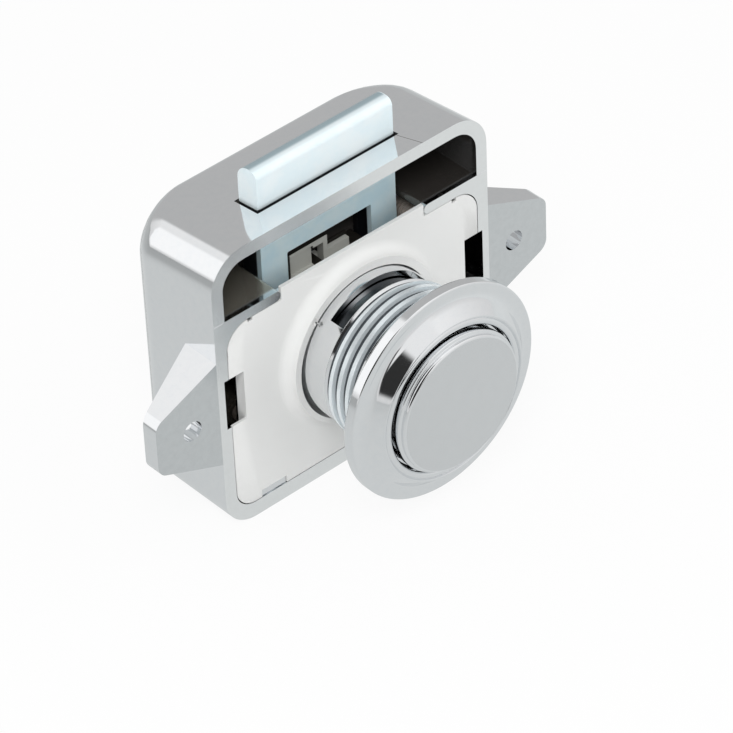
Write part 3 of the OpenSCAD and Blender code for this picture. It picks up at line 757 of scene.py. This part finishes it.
def helix(core: float, crest: float, root_w: float, crest_w: float, pitch: float, turns: float,
          start: float, steps: int) -> Stock:
    """A thread's ridge about the Y axis, sunk a little into its core and run out at both ends.

    Args:
        core: Radius of the core that carries it.
        crest: Radius of the ridge's crest.
        root_w: Width of the ridge at the core.
        crest_w: Width of its crest.
        pitch: Distance from turn to turn.
        turns: Number of turns.
        start: Y at which it starts; it runs towards -Y.
        steps: Steps in one turn.

    Returns:
        The ridge.
    """
    Stock._clear()
    sunk = core - 0.2
    bpy.ops.mesh.primitive_plane_add(size=1, location=((sunk + crest) / 2, 0, 0),
                                     rotation=(math.pi / 2, 0, 0),
                                     scale=(crest - sunk, root_w, 1))
    ridge = Stock._added()
    ridge.edit()
    mesh = bmesh.from_edit_mesh(ridge.obj.data)
    for vertex in mesh.verts:
        vertex.select_set(vertex.co.x > core)
    bmesh.update_edit_mesh(ridge.obj.data)
    ridge.scale_to((1, 1, crest_w / root_w), (crest, 0, 0))
    bpy.ops.mesh.select_all(action="SELECT")
    bpy.ops.mesh.delete(type="ONLY_FACE")
    ridge.leave()
    whole = max(1, round(turns))
    ridge.modify("SCREW", axis="Z", angle=2 * math.pi * turns / whole, iterations=whole,
                 screw_offset=pitch * turns / whole, steps=steps, render_steps=steps,
                 use_merge_vertices=False)
    length = pitch * turns
    for vertex in ridge.obj.data.vertices:
        along = min(vertex.co.z, length - vertex.co.z) / pitch
        fade = max(0.0, min(1.0, (along + 0.2) / 0.5))
        r = math.hypot(vertex.co.x, vertex.co.y)
        if r > core - 0.05:
            keep = (core - 0.05 + (r - core + 0.05) * fade) / r
            vertex.co.x *= keep
            vertex.co.y *= keep
    ridge.edit_all()
    bpy.ops.mesh.fill_holes(sides=0)
    ridge.leave()
    turn = Matrix.Rotation(math.pi / 2, 4, "X")
    ridge.obj.data.transform(Matrix.Translation((0, start, 0)) @ turn)
    ridge.weld()
    return ridge


def screw_rods(side: int, r: float, start: float, end: float, vertices: int) -> list[Stock]:
    """Rods at the two screw places of one side.

    Args:
        side: -1 for the left, 1 for the right.
        r: Radius.
        start: Y at which they begin.
        end: Y at which they end.
        vertices: Number of sides.

    Returns:
        The lower and the upper rod.
    """
    places = ((side * SCREW_X, level * SCREW_Z) for level in SIDES)
    return [Stock.rod(Axis.Y, r, start, end, place, vertices) for place in places]


def second_finish(piece: bpy.types.Object, finish: bpy.types.Material, test: PlaceTest) -> None:
    """Gives some faces of a finished piece another finish.

    Args:
        piece: The finished piece.
        finish: The other finish.
        test: Test on a face's centre in millimetres and its normal.
    """
    piece.data.materials.append(finish)
    index = len(piece.data.materials) - 1
    for polygon in piece.data.polygons:
        if test(polygon.center / MM, polygon.normal):
            polygon.material_index = index


@dataclass
class CaseCasting:
    """The chromed case with its two ears, shelves, bolt slot and catch pockets."""

    half_w: float = 25.5
    up: float = 26.4
    down: float = 21.6
    depth: float = 20.0
    head_r: float = 6.0
    foot_r: float = 5.4
    side_wall: float = 2.0
    top_wall: float = 2.2
    base_wall: float = 2.6
    back_wall: float = 1.8
    back_cut_w: float = 9.4
    back_cut_d: float = 6.4
    back_soft: float = 1.3
    back_steps: int = 10
    cavity_end: Triple = (0.86, 3.0, 0.94)
    shelf_up: float = 15.4
    shelf_t: float = 1.65
    shelf_d: float = 11.0
    shelf_in: float = 13.4
    web_low: Triple = (19.6, 0.0, 9.7)
    web_high: Triple = (24.5, 3.4, 14.2)
    web_cut: Triple = (19.5, 9.75, 4.0)
    boss: Triple = (2.4, 9.4, 18.6)
    bore: Triple = (SCREW_BORE, 8.0, 14.3)
    lug_low: Triple = (-18.8, 0.15, -19.6)
    lug_high: Triple = (-14.4, 1.55, -17.82)
    slot: Triple = (13.0, 4.4, 9.4)
    pocket_low: Triple = (23.3, -1.0, -3.3)
    pocket_high: Triple = (24.3, 6.0, 5.2)
    ear_x: Pair = (24.4, 36.8)
    ear_half: Pair = (9.5, 4.35)
    ear_t: Pair = (6.9, 2.7)
    ear_r: float = 1.3
    hole_x: float = 30.4
    hole_r: float = 1.6
    seam_r: float = 0.055
    seam_x: Pair = (23.6, 25.45)
    edge_r: float = 0.22

    def shell(self) -> Stock:
        """The outer body with its rounded back, hollowed from the front."""
        start = self.depth - self.back_cut_d
        half = self.half_w
        body = Stock.block((-half, 0, -self.down), (half, start, self.up))
        body.round_edges(Axis.Y, self.head_r, 12, lambda p: p.z > 0)
        body.round_edges(Axis.Y, self.foot_r, 12, lambda p: p.z < 0)
        body.pick_faces(lambda c, n: n.y > 0.9)
        mid, tall = (self.up - self.down) / 2, (self.up + self.down) / 2
        sx, y, sz = 1.0, start, 1.0
        for i in range(1, self.back_steps + 1):
            a = math.pi / 2 * i / self.back_steps
            new_y = start + self.back_cut_d * math.sin(a)
            new_sx = 1 - self.back_cut_w * (1 - math.cos(a)) / half
            new_sz = 1 - self.back_soft * (1 - math.cos(a)) / tall
            body.push((0, new_y - y, 0))
            body.scale_to((new_sx / sx, 1, new_sz / sz), (0, new_y, mid))
            sx, y, sz = new_sx, new_y, new_sz
        body.pick_faces(lambda c, n: n.y < -0.9)
        bpy.ops.mesh.inset(thickness=self.side_wall, use_even_offset=True)
        up, down = self.up - self.top_wall, self.down - self.base_wall
        body.scale_to((1, 1, (up + down) / 2 / (tall - self.side_wall)), (0, 0, mid))
        bpy.ops.transform.translate(value=(0, 0, (up - down) / 2 - mid))
        end_x, end_y, end_z = self.cavity_end
        body.push((0, self.depth - self.back_wall - end_y, 0))
        body.push((0, end_y, 0))
        body.scale_to((end_x, 1, end_z), (0, 0, mid))
        body.leave()
        for vertex in body.obj.data.vertices:
            above = (vertex.co.z - mid) / tall
            if above > 0:
                vertex.co.z -= ROOF_FALL * vertex.co.y * min(1.0, above * 1.6)
        return body

    def ear(self) -> Stock:
        """The right ear: a wedge that gets thinner to its tip, with two rounded corners."""
        (root, tip), (high, tip_high), (thick, tip_thick) = self.ear_x, self.ear_half, self.ear_t
        ear = Stock.block((root, 0, -high), (tip, thick, high))
        ear.pick_faces(lambda c, n: n.x > 0.9)
        ear.scale_to((1, 1, tip_high / high), (tip, 0, 0))
        ear.leave()
        for vertex in ear.obj.data.vertices:
            if vertex.co.x > tip - 1 and vertex.co.y > tip_thick:
                vertex.co.y = tip_thick
        ear.pick_edges(lambda p, d: p.x > tip - 0.8 and abs(d.z) < 0.3)
        bpy.ops.mesh.bevel(offset=self.ear_r, segments=6, affect="EDGES", clamp_overlap=False)
        ear.leave()
        return ear

    def shelf(self) -> Stock:
        """The right shelf under the window, with a rounded inner end."""
        shelf = Stock.block((self.shelf_in, 0, self.shelf_up - self.shelf_t),
                            (self.half_w - 1, self.shelf_d, self.shelf_up))
        return shelf.round_edges(Axis.Y, self.shelf_t / 2 - 0.02, 6, lambda p: p.x < 20)

    def corner_web(self) -> Stock:
        """The fillet between the right shelf and the side wall, beside the front plate."""
        x, z, r = self.web_cut
        block = Stock.block(self.web_low, self.web_high)
        return block.cut(Stock.rod(Axis.Y, r, -1, 5, (x, z), 64))

    def build(self, finish: bpy.types.Material, rim: bpy.types.Material,
              ears: bpy.types.Material) -> None:
        """Builds the case and stands it in for its CAD node.

        Args:
            finish: Finish of the whole case.
            rim: A lighter copy of the chrome for the front rim, a painted highlight.
            ears: A darker copy of the chrome for the ears' front, painted shade.
        """
        body = self.shell()
        bosses = screw_rods(1, *self.boss, 32)
        right = [self.ear(), self.shelf(), self.corner_web(), bosses[1], bosses[0]]
        mirror = Matrix.Scale(-1, 4, (1, 0, 0))
        left = [piece.copy(mirror) for piece in right]
        body.join(*right, *left, Stock.block(self.lug_low, self.lug_high))
        half, front, back = self.slot
        tools = [Stock.block((-half, front, self.up - 8), (half, back, self.up + 4))]
        for side in SIDES:
            low, high = ((side * x, y, z) for x, y, z in (self.pocket_low, self.pocket_high))
            tools.append(Stock.block(low, high))
            tools.append(Stock.rod(Axis.Y, self.hole_r, -2, 9, (side * self.hole_x, 0), 48))
            tools += screw_rods(side, *self.bore, 24)
        body.cut(*tools)
        body.soften(self.edge_r, 3, 30)
        body.gather(*(Stock.rod(Axis.X, self.seam_r, *sorted(side * x for x in self.seam_x),
                                (0.01, self.shelf_up - 0.05), 8) for side in (1, -1)))
        case = body.done("case_casting", finish, Body.CASE, "cast_chrome", ["housing"])
        # The front rim gets the lighter copy, painted highlight, and the ears' front the darker
        # copy, painted shade.
        for skin, side in ((rim, 1), (ears, -1)):
            second_finish(case, skin, lambda c, n, side=side: (
                n.y < -0.99 and c.y < 0.01 and (self.half_w - abs(c.x)) * side > 0))


@dataclass
class FrontPlate:
    """The white plate that closes the case, with its raised collar."""

    half_w: float = 23.38
    up: float = 13.63
    down: float = 18.88
    thick: float = 1.8
    corner_r: float = 4.0
    foot_r: float = 3.4
    tongue_half: float = 13.28
    tongue_up: float = 15.7
    collar_bore: float = 12.2
    collar_rim: float = 13.2
    collar_h: float = 2.0
    fillet_r: float = 1.6
    bore_drop: float = 0.28
    lip_t: float = 0.55
    edge_r: float = 0.18

    def build(self, finish: bpy.types.Material) -> None:
        """Builds the plate and stands it in for its CAD node."""
        half, up, tongue, deep = self.half_w, self.up, self.tongue_half, 3
        plate = Stock.block((-half, 0, -self.down), (half, self.thick, self.tongue_up))
        for side in SIDES:
            plate.cut(Stock.block((side * 30, -1, up), (side * tongue, deep, 20)))
        plate.round_edges(Axis.Y, self.corner_r, 10, lambda p: abs(p.x) > half - 1 and p.z > 0)
        plate.round_edges(Axis.Y, self.foot_r, 10, lambda p: abs(p.x) > half - 1 and p.z < 0)
        plate.cut(Stock.block((-14, self.lip_t, up - 0.4), (14, deep, 20)))
        foot = self.collar_rim + self.fillet_r
        plate.join(Stock.turned([
            (self.collar_bore - 0.4, 0.9), (self.collar_bore - 0.4, -self.collar_h),
            (self.collar_rim, -self.collar_h), *arc(foot, -self.fillet_r, self.fillet_r, 180, 90),
            (foot + 0.05, 0.9),
        ]))
        tools = [Stock.rod(Axis.Y, self.collar_bore, -4, 4, (0, -self.bore_drop), 128)]
        for side in SIDES:
            for low, high in (
                ((20.8, -1, -3.3), (26, deep, 5.2)),  # notch
                ((20.8, 0.4, -5.3), (26, deep, 0)),  # its foot, behind the face
                ((18.6, -1, 13.1), (19.5, 0.6, 15)),  # nick in the upper edge
            ):
                low, high = ((side * x, y, z) for x, y, z in (low, high))
                tools.append(Stock.block(low, high))
            tools += screw_rods(side, 2.2, 0.5, deep, 32)
        lug_gap = Stock.block((-18.92, -1, -20), (-14.28, deep, -17.7))
        rim_nick = Stock.block((-9.6, -3, 8.0), (-8.8, -1.7, 8.9))
        plate.cut(*tools, lug_gap, rim_nick)
        plate.soften(self.edge_r, 2, 30)
        plate.done("front_plate_moulding", finish, Body.CASE, "white_plastic", ["front_plate"])


@dataclass
class NeckSleeve:
    """The chromed neck with its foot, window and thread."""

    bore: float = 10.95
    plain_r: float = 11.8
    root_r: float = 11.5
    crest_r: float = 12.08
    back: float = 3.2
    plain_end: float = -6.4
    front_end: float = -18.55
    pitch: float = 1.7
    turns: float = 3.9
    ridge_w: Pair = (1.58, 1.08)
    foot_low: Triple = (-20.0, 1.8, -12.7)
    foot_r: float = 3.0
    window_half: float = 41.0
    window_y: Pair = (-6.3, -3.65)
    window_z: Pair = (6.0, 14.0)

    def build(self, finish: bpy.types.Material, cut: bpy.types.Material) -> None:
        """Builds the neck and stands it in for its CAD node; its thread has a finish of its own."""
        sleeve = Stock.turned(rounded([
            (self.bore, self.back, 0), (self.plain_r, self.back, 0),
            (self.plain_r, self.plain_end, 0.15), (self.root_r, self.plain_end - 0.35, 0.1),
            (self.root_r, self.front_end + 0.2, 0), (self.root_r - 0.15, self.front_end, 0),
            (self.bore, self.front_end, 0),
        ], 3))
        x, _, z = self.foot_low
        foot = Stock.block(self.foot_low, (-x, self.back, -z))
        foot.round_edges(Axis.Y, self.foot_r, 6)
        foot.cut(Stock.rod(Axis.Y, self.bore + 0.3, 0, 5, vertices=96))
        for side in SIDES:
            foot.cut(*screw_rods(side, SCREW_BORE, 0, 5, 24))
        sleeve.cut(self._window())
        sleeve.soften(0.12, 2, 35)
        thread = helix(self.root_r, self.crest_r, *self.ridge_w, self.pitch, self.turns,
                       self.plain_end - 0.75, 96)
        sleeve.gather(foot, thread)
        neck = sleeve.done("neck_sleeve", finish, Body.CASE, "cast_chrome", ["neck"])
        second_finish(neck, cut, lambda c, n: (
            c.y < self.plain_end - 0.2 and math.hypot(c.x, c.z) > self.bore + 0.3))

    def _window(self) -> Stock:
        """The wedge that opens the sleeve's upper side."""
        (back, front), (low, high) = self.window_y, self.window_z
        wedge = Stock.block((-high, back, low), (high, front, high))
        width = high * math.tan(math.radians(self.window_half))
        for vertex in wedge.obj.data.vertices:
            reach = width if vertex.co.z > low + 1 else width * low / high
            vertex.co.x = math.copysign(reach, vertex.co.x)
        return wedge


@dataclass
class Rose:
    """The chromed rose with its dished front and bead."""

    bore: float = 12.12
    stop: float = -18.65
    rim_r: float = 17.0
    back: float = -16.1
    hub_back: float = -12.9
    rim_front: float = -17.9
    bead_bore: float = 11.5
    bead_out: float = 12.7
    bead_front: float = -20.2
    hub_r: float = 12.75
    dish_r: float = 2.0
    dish_x: float = 15.81
    cone_angle: float = 50.0

    def build(self, finish: bpy.types.Material) -> None:
        """Builds the rose and stands it in for its CAD node."""
        lip, front = self.bead_out + 0.25, self.bead_front
        line = rounded([
            (self.bore, self.hub_back, 0), (self.hub_r, self.hub_back, 0.1),
            (self.hub_r + 0.35, self.back, 0.35), (self.rim_r, self.back, 0.35),
            (self.rim_r, self.rim_front, 0.3), (self.dish_x, self.rim_front, 0),
        ], 5)
        dish = [(r, -y) for r, y in arc(self.dish_x, self.dish_r - self.rim_front, self.dish_r,
                                       270, 270 - self.cone_angle, 10)]
        top = [(lip + out, front + back) for out, back in (
            (0.14, 0.17), (0.03, 0.06), (-0.06, 0.01), (-0.2, 0.02), (-0.3, 0.1), (-0.36, 0.25))]
        mid, half = (self.bead_bore + lip - 0.36) / 2, (lip - 0.36 - self.bead_bore) / 2
        bead = [(mid + half * math.cos(a), front + 0.5 - 0.5 * math.sin(a))
                for a in (math.pi * k / 10 for k in range(2, 11))]
        tail = [(self.bead_bore, self.stop), (self.bore, self.stop)]
        rose = Stock.turned(line + dish[1:] + top + bead + tail, vertices=160)
        rose.done("rose_flange", finish, Body.CASE, "cast_chrome", ["rose"], 50)


@dataclass
class PushKnob:
    """The chromed knob: a head with a stepped edge on a long tube."""

    tube_r: float = 10.75
    bore_r: float = 9.6
    head_r: float = 11.1
    step_w: float = 0.4
    face_r: float = 0.45
    face: float = -21.75
    head_back: float = -19.65
    bore_front: float = -19.75
    tube_end: float = 2.5

    def build(self, chrome: bpy.types.Material, satin: bpy.types.Material) -> None:
        """Builds the head and its tube, and stands them in for the CAD node."""
        back, step_r, round_r = self.head_back, self.head_r - self.step_w, self.face_r
        outer = rounded([
            (self.bore_r, self.bore_front, 0), (self.bore_r, self.tube_end, 0.2),
            (self.tube_r, self.tube_end, 0.2), (self.tube_r, back, 0.05),
            (self.head_r, back, 0.12), (self.head_r, self.face + 0.95, 0.2),
            (step_r, self.face + 0.8, 0.08), (step_r, self.face + round_r, 0),
        ], 4)
        outer += arc(step_r - round_r, self.face + round_r, round_r, 0, -90, 6)
        outer += [(self.head_r - 1.3, self.face)]
        knob = Stock.turned(outer, closed=False, vertices=160)
        piece = knob.done("knob_head", chrome, Body.BUTTON, "cast_chrome", ["knob"], 40)
        second_finish(piece, satin, lambda c, n: c.y < self.face + 0.02 and n.y < -0.99)


@dataclass
class SpringBolt:
    """The zinc-plated bolt, folded from sheet, with a window between its two legs."""

    half_w: float = 12.5
    front: float = 4.9
    back: float = 8.9
    top: float = 32.0
    low: float = -9.0
    sheet: float = 1.0
    leg_in: float = 7.8
    window_up: float = 16.1
    pin: Pair = (6.9, 3.4)
    pin_r: float = 1.0
    nose_front_r: float = 1.2
    nose_back_r: float = 2.3

    def build(self, finish: bpy.types.Material) -> None:
        """Builds the bolt and stands it in for its CAD node."""
        w, front, back, s = self.half_w, self.front, self.back, self.sheet
        bolt = Stock.block((-w, front, self.low), (w, back, self.top))
        bolt.round_edges(Axis.X, self.nose_back_r, 10, lambda p: p.z > 20 and p.y > 7)
        bolt.round_edges(Axis.X, self.nose_front_r, 8, lambda p: p.z > 20 and p.y < 5)
        inner = Stock.block((s - w, front + s, self.low + s),
                            (w - s, back - s, self.top - s))
        inner.round_edges(Axis.X, 0.9, 4, lambda p: p.z > 20)
        window = Stock.block((-self.leg_in, front - 1, self.low - 1),
                             (self.leg_in, back + 1, self.window_up))
        window.round_edges(Axis.Y, 0.25, 3, lambda p: p.z > 0)
        pin_hole = Stock.rod(Axis.X, self.pin_r, -14, 14, self.pin, 32)
        bolt.cut(inner, window, pin_hole)
        bolt.soften(0.2, 3, 35)
        bolt.done("bolt_fold", finish, Body.SLIDER, "zinc_sheet", ["bolt"], 40)


@dataclass
class FootScrews:
    """Four threaded screws that hold the neck's foot to the case."""

    r: float = 1.25
    head_r: float = 2.0
    seat: float = 1.8
    length: float = 12.0
    pitch: float = 0.6

    def build(self, finish: bpy.types.Material) -> None:
        """Builds the screws and stands them in for their CAD node."""
        seat, end, core = self.seat, self.seat + self.length, self.r * 0.8
        screw = Stock.turned(rounded([
            (self.head_r * 0.5, seat - 1.0, 0), (self.head_r * 0.8, seat - 0.9, 0.3),
            (self.head_r, seat - 0.5, 0.2), (self.head_r, seat, 0), (core, seat, 0),
            (core, end - 0.6, 0), (self.r * 0.4, end, 0),
        ], 3), closed=False, vertices=32)
        cross = [Stock.block((-x, 0.2, -z), (x, 1.5, z)) for x, z in ((0.3, 1.1), (1.1, 0.3))]
        screw.cut(*cross)
        ridge = helix(core, self.r, 0.42, 0.06, self.pitch,
                      (self.length - 1.6) / self.pitch, end - 0.9, 24)
        screw.gather(ridge)
        screws = [screw.copy(Matrix.Translation((side * SCREW_X, 0, level * SCREW_Z)))
                  for side in SIDES for level in SIDES]
        screw.remove()
        screws[0].gather(*screws[1:])
        screws[0].done("foot_screw_set", finish, Body.CASE, "steel", ["foot_screws"], 30)


@dataclass
class BoltSprings:
    """The two springs under the bolt's legs, built at rest on the case."""

    x: float = 10.15
    y: float = 6.9
    low: float = -19.0
    length: float = 10.0
    r: float = 1.55
    wire: float = 0.25
    turns: int = 6
    steps: int = 40
    keep: float = 0.39

    def build(self, finish: bpy.types.Material) -> None:
        """Builds both springs and stands them in for their CAD nodes."""
        Stock._clear()
        bpy.ops.mesh.primitive_circle_add(vertices=12, radius=self.wire, fill_type="NOTHING",
                                          location=(self.r, 0, self.wire),
                                          rotation=(math.pi / 2, 0, 0))
        coil = Stock._added()
        coil.modify("SCREW", axis="Z", angle=2 * math.pi, iterations=self.turns,
                    screw_offset=(self.length - 2 * self.wire) / self.turns,
                    steps=self.steps, render_steps=self.steps, use_merge_vertices=False)
        coil.edit_all()
        bpy.ops.mesh.fill_holes(sides=0)
        coil.weld()
        for name, side in zip(("left", "right"), SIDES):
            place = (side * self.x, self.y, self.low)
            spring = coil.copy(Matrix.Translation(place))
            made = spring.done(f"bolt_coil_{name}", finish, Body.CASE, "steel",
                               [f"bolt_spring_{name}"], 50)
            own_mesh(made)
        coil.remove()


@dataclass
class Mechanism:
    """The CAD pieces that keep their shape and get a finish."""

    finishes: dict[str, bpy.types.Material]

    def dress(self) -> None:
        """Gives each carried-over node its finish."""
        for node, material in self.finishes.items():
            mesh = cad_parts[node].data
            mesh.materials.clear()
            mesh.materials.append(material)
            log.info("%s: CAD node dressed with %s", node, material.name)


@dataclass
class Studio:
    """Pale floor, soft light and the camera."""

    azimuth: float = 40.32
    elevation: float = 39.44
    roll: float = -2.66
    distance: float = 658.76
    aim: Pair = (1.336, -4.610)
    focal_px: float = 4677.78
    image_px: float = 733.0
    floor_z: float = -21.65
    room: float = 0.62
    sensor_mm: float = 36.0

    def camera(self) -> None:
        """Places the camera at the photograph's view."""
        az, el, roll = (math.radians(v) for v in (self.azimuth, self.elevation, self.roll))
        back = Vector((-math.sin(az) * math.cos(el), -math.cos(az) * math.cos(el), math.sin(el)))
        right = Vector((math.cos(az), -math.sin(az), 0))
        up = right.cross(-back)
        x = right * math.cos(roll) + up * math.sin(roll)
        y = up * math.cos(roll) - right * math.sin(roll)
        place = x * self.aim[0] + y * self.aim[1] + back * self.distance
        data = bpy.data.cameras.new("studio_camera")
        data.sensor_width = self.sensor_mm
        data.lens = self.focal_px / self.image_px * self.sensor_mm
        data.clip_start, data.clip_end = 0.01, 10.0
        camera = bpy.data.objects.new("studio_camera", data)
        bpy.context.scene.collection.objects.link(camera)
        turn = Matrix((x, y, back)).transposed().to_4x4()
        camera.matrix_world = Matrix.Translation(place * MM) @ turn
        bpy.context.scene.camera = camera

    def floor(self) -> None:
        """Lays the pale floor, which shows as white and is a soft grey in the metal."""
        Stock._clear()
        bpy.ops.mesh.primitive_plane_add(size=6.0, location=(0, 0, self.floor_z * MM))
        floor = bpy.context.object
        floor.name = "studio_floor"
        made = bpy.data.materials.new("studio_floor")
        s = Shader(made)
        seen = s.add("ShaderNodeLightPath", out="Is Camera Ray")
        mirrored = s.add("ShaderNodeLightPath", out="Is Glossy Ray")
        paper = s.add("ShaderNodeBsdfDiffuse", None, {"Color": (0.9, 0.9, 0.9, 1)})
        white = s.add("ShaderNodeEmission", None, {"Color": (1, 1, 1, 1), "Strength": 1.0})
        x, y, _ = s.axes(s.place())
        tone = (x * 0.6 + 0.655).most(0.54).least(0.74) * y.step(0.06, 0.14, 1.0, 0.72)
        grey = s.add("ShaderNodeEmission", None, {"Color": (0.97, 1.0, 1.0, 1), "Strength": tone})
        first = s.add("ShaderNodeMixShader", None, {0: mirrored * 0.9, 1: paper, 2: grey})
        last = s.add("ShaderNodeMixShader", None, {0: seen * 0.9, 1: first, 2: white})
        s.add_output("ShaderNodeOutputMaterial", last)
        floor.data.materials.append(made)

    def world(self) -> None:
        """Lights the room: white to the eye, soft panels and dark flags in the metal."""
        world = bpy.data.worlds.new("studio_world")
        bpy.context.scene.world = world
        s = Shader(world)
        x, y, z = s.axes(s.add("ShaderNodeTexCoord", out="Generated"))
        bearing, height = (angle * (180 / math.pi) for angle in (x.arctan2(y), z.arcsine()))
        tone = height.step(-10, 80, 0.72, 1.03)
        for *panel, value in (
            (38, 38, 25, 32, 8, 0.49),
            (-48, 22, 32, 26, 6, 1.08),
            (-135, 42, 38, 30, 5, 0.03),
            (180, 20, 40, 22, 8, 0.9),
        ):
            tone = tone + self._panel(bearing, height, *panel) * (value - tone)
        seen, mirrored = (s.add("ShaderNodeLightPath", out=f"Is {ray} Ray")
                          for ray in ("Camera", "Glossy"))
        plain = tone * mirrored + (1 - mirrored) * self.room
        level = plain + seen * (1 - plain)
        shine = s.add("ShaderNodeBackground", None, {"Strength": level, "Color": (1, 1, 1, 1)})
        s.add_output("ShaderNodeOutputWorld", shine)

    @staticmethod
    def _panel(bearing: Wire, height: Wire, centre: float, half_w: float, level: float,
               half_h: float, soft: float) -> Wire:
        """A soft-edged panel in the room.

        Args:
            bearing: Bearing of the ray in degrees, 0 behind the latch, + to the right.
            height: Height of the ray in degrees.
            centre: Bearing of the panel's middle.
            half_w: Half its width in degrees.
            level: Height of its middle.
            half_h: Half its height in degrees.
            soft: Width of its soft edge in degrees.

        Returns:
            1 inside the panel and 0 outside it.
        """
        off = (bearing - centre).absolute()
        off = off.least((off - 360).absolute())
        wide = off.step(half_w, half_w + soft, 1, 0)
        high = (height - level).absolute().step(half_h, half_h + soft, 1, 0)
        return wide * high

    def lamps(self) -> None:
        """Hangs two soft lamps, which the metal doesn't mirror."""
        for name, place, size, power in (
            ("key", (-0.35, -0.35, 0.55), 0.35, 2.6),
            ("fill", (0.5, -0.45, 0.25), 0.45, 0.9),
        ):
            data = bpy.data.lights.new(name, "AREA")
            data.shape, data.size, data.energy = "DISK", size, power
            lamp = bpy.data.objects.new(name, data)
            bpy.context.scene.collection.objects.link(lamp)
            lamp.location = place
            lamp.rotation_euler = (-Vector(place)).to_track_quat("-Z", "Y").to_euler()
            lamp.visible_glossy = False

    def build(self) -> None:
        """Sets up the whole studio."""
        bpy.context.scene.view_settings.view_transform = "Standard"
        self.camera()
        self.floor()
        self.world()
        self.lamps()


def main() -> None:
    """Builds the latch's looks, dresses the CAD nodes and sets up the studio."""
    logging.basicConfig(level=logging.INFO, format="%(message)s")
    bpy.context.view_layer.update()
    chrome = Chrome().material()
    cast = Chrome("cast_chrome_plate", painted_shade=inside_case).material()
    # The knob's tube gets painted shade deep inside the neck, with one painted highlight along it.
    tube = Chrome("knob_chrome", painted_shade=knob_tube, shade_left=(0.05, 0.055, 0.06),
                  shade_right=(0.06, 0.065, 0.07), shade_depth=0.0).material()
    # Satin is the knob face's own finish; the rim and ear copies are lighter and darker for painted
    # highlight and painted shade.
    satin, rim, ears = (Chrome(f"{name}_chrome", *values).material() for name, *values in (
        ("satin", (0.78, 0.79, 0.80), (0.77, 0.78, 0.79), 0.22, 0.03, 0.004),
        ("rim", (0.95, 0.96, 0.96), (0.93, 0.94, 0.94), 0.24, 0.03, 0.004),
        ("ear", (0.71, 0.73, 0.74), (0.68, 0.70, 0.71), 0.16, 0.05, 0.006),
    ))
    thread, zinc, nylon, steel = (kind().material() for kind in (Thread, Zinc, Nylon, Steel))
    # The rear guide gets a near-black nylon, which paints the shade of the cavity behind the
    # window.
    black = Nylon("black_nylon", (0.06, 0.055, 0.05), (0.08, 0.075, 0.07), 0.5).material()
    # The guide block is a darker copy of the white nylon, painted shade, with more painted shade on
    # its tower.
    guide = Nylon("guide_nylon", (0.60, 0.60, 0.56), (0.54, 0.54, 0.50), 0.5,
                  tower_shade).material()
    yellow = Steel("passivated_steel", (0.80, 0.72, 0.65), (0.62, 0.53, 0.46), 0.3, (1, 1, 1),
                   0.75).material()
    wire = Steel("spring_wire", (0.66, 0.65, 0.63), (0.5, 0.47, 0.44), 0.18, (1, 1, 1)).material()
    CaseCasting().build(cast, rim, ears)
    FrontPlate().build(nylon)
    NeckSleeve().build(chrome, thread)
    Rose().build(chrome)
    PushKnob().build(tube, satin)
    SpringBolt().build(zinc)
    FootScrews().build(yellow)
    BoltSprings().build(wire)
    Mechanism({
        "plunger": nylon, "guide_block": guide, "rear_guide": black,
        "knob_spring": wire, "follower": wire, "knob_screw": steel, "drive_pin": steel,
        "pin_clip": steel, "guide_screws": steel, "follower_leaf": steel,
    }).dress()
    Studio().build()


if __name__ == "__main__":
    main()
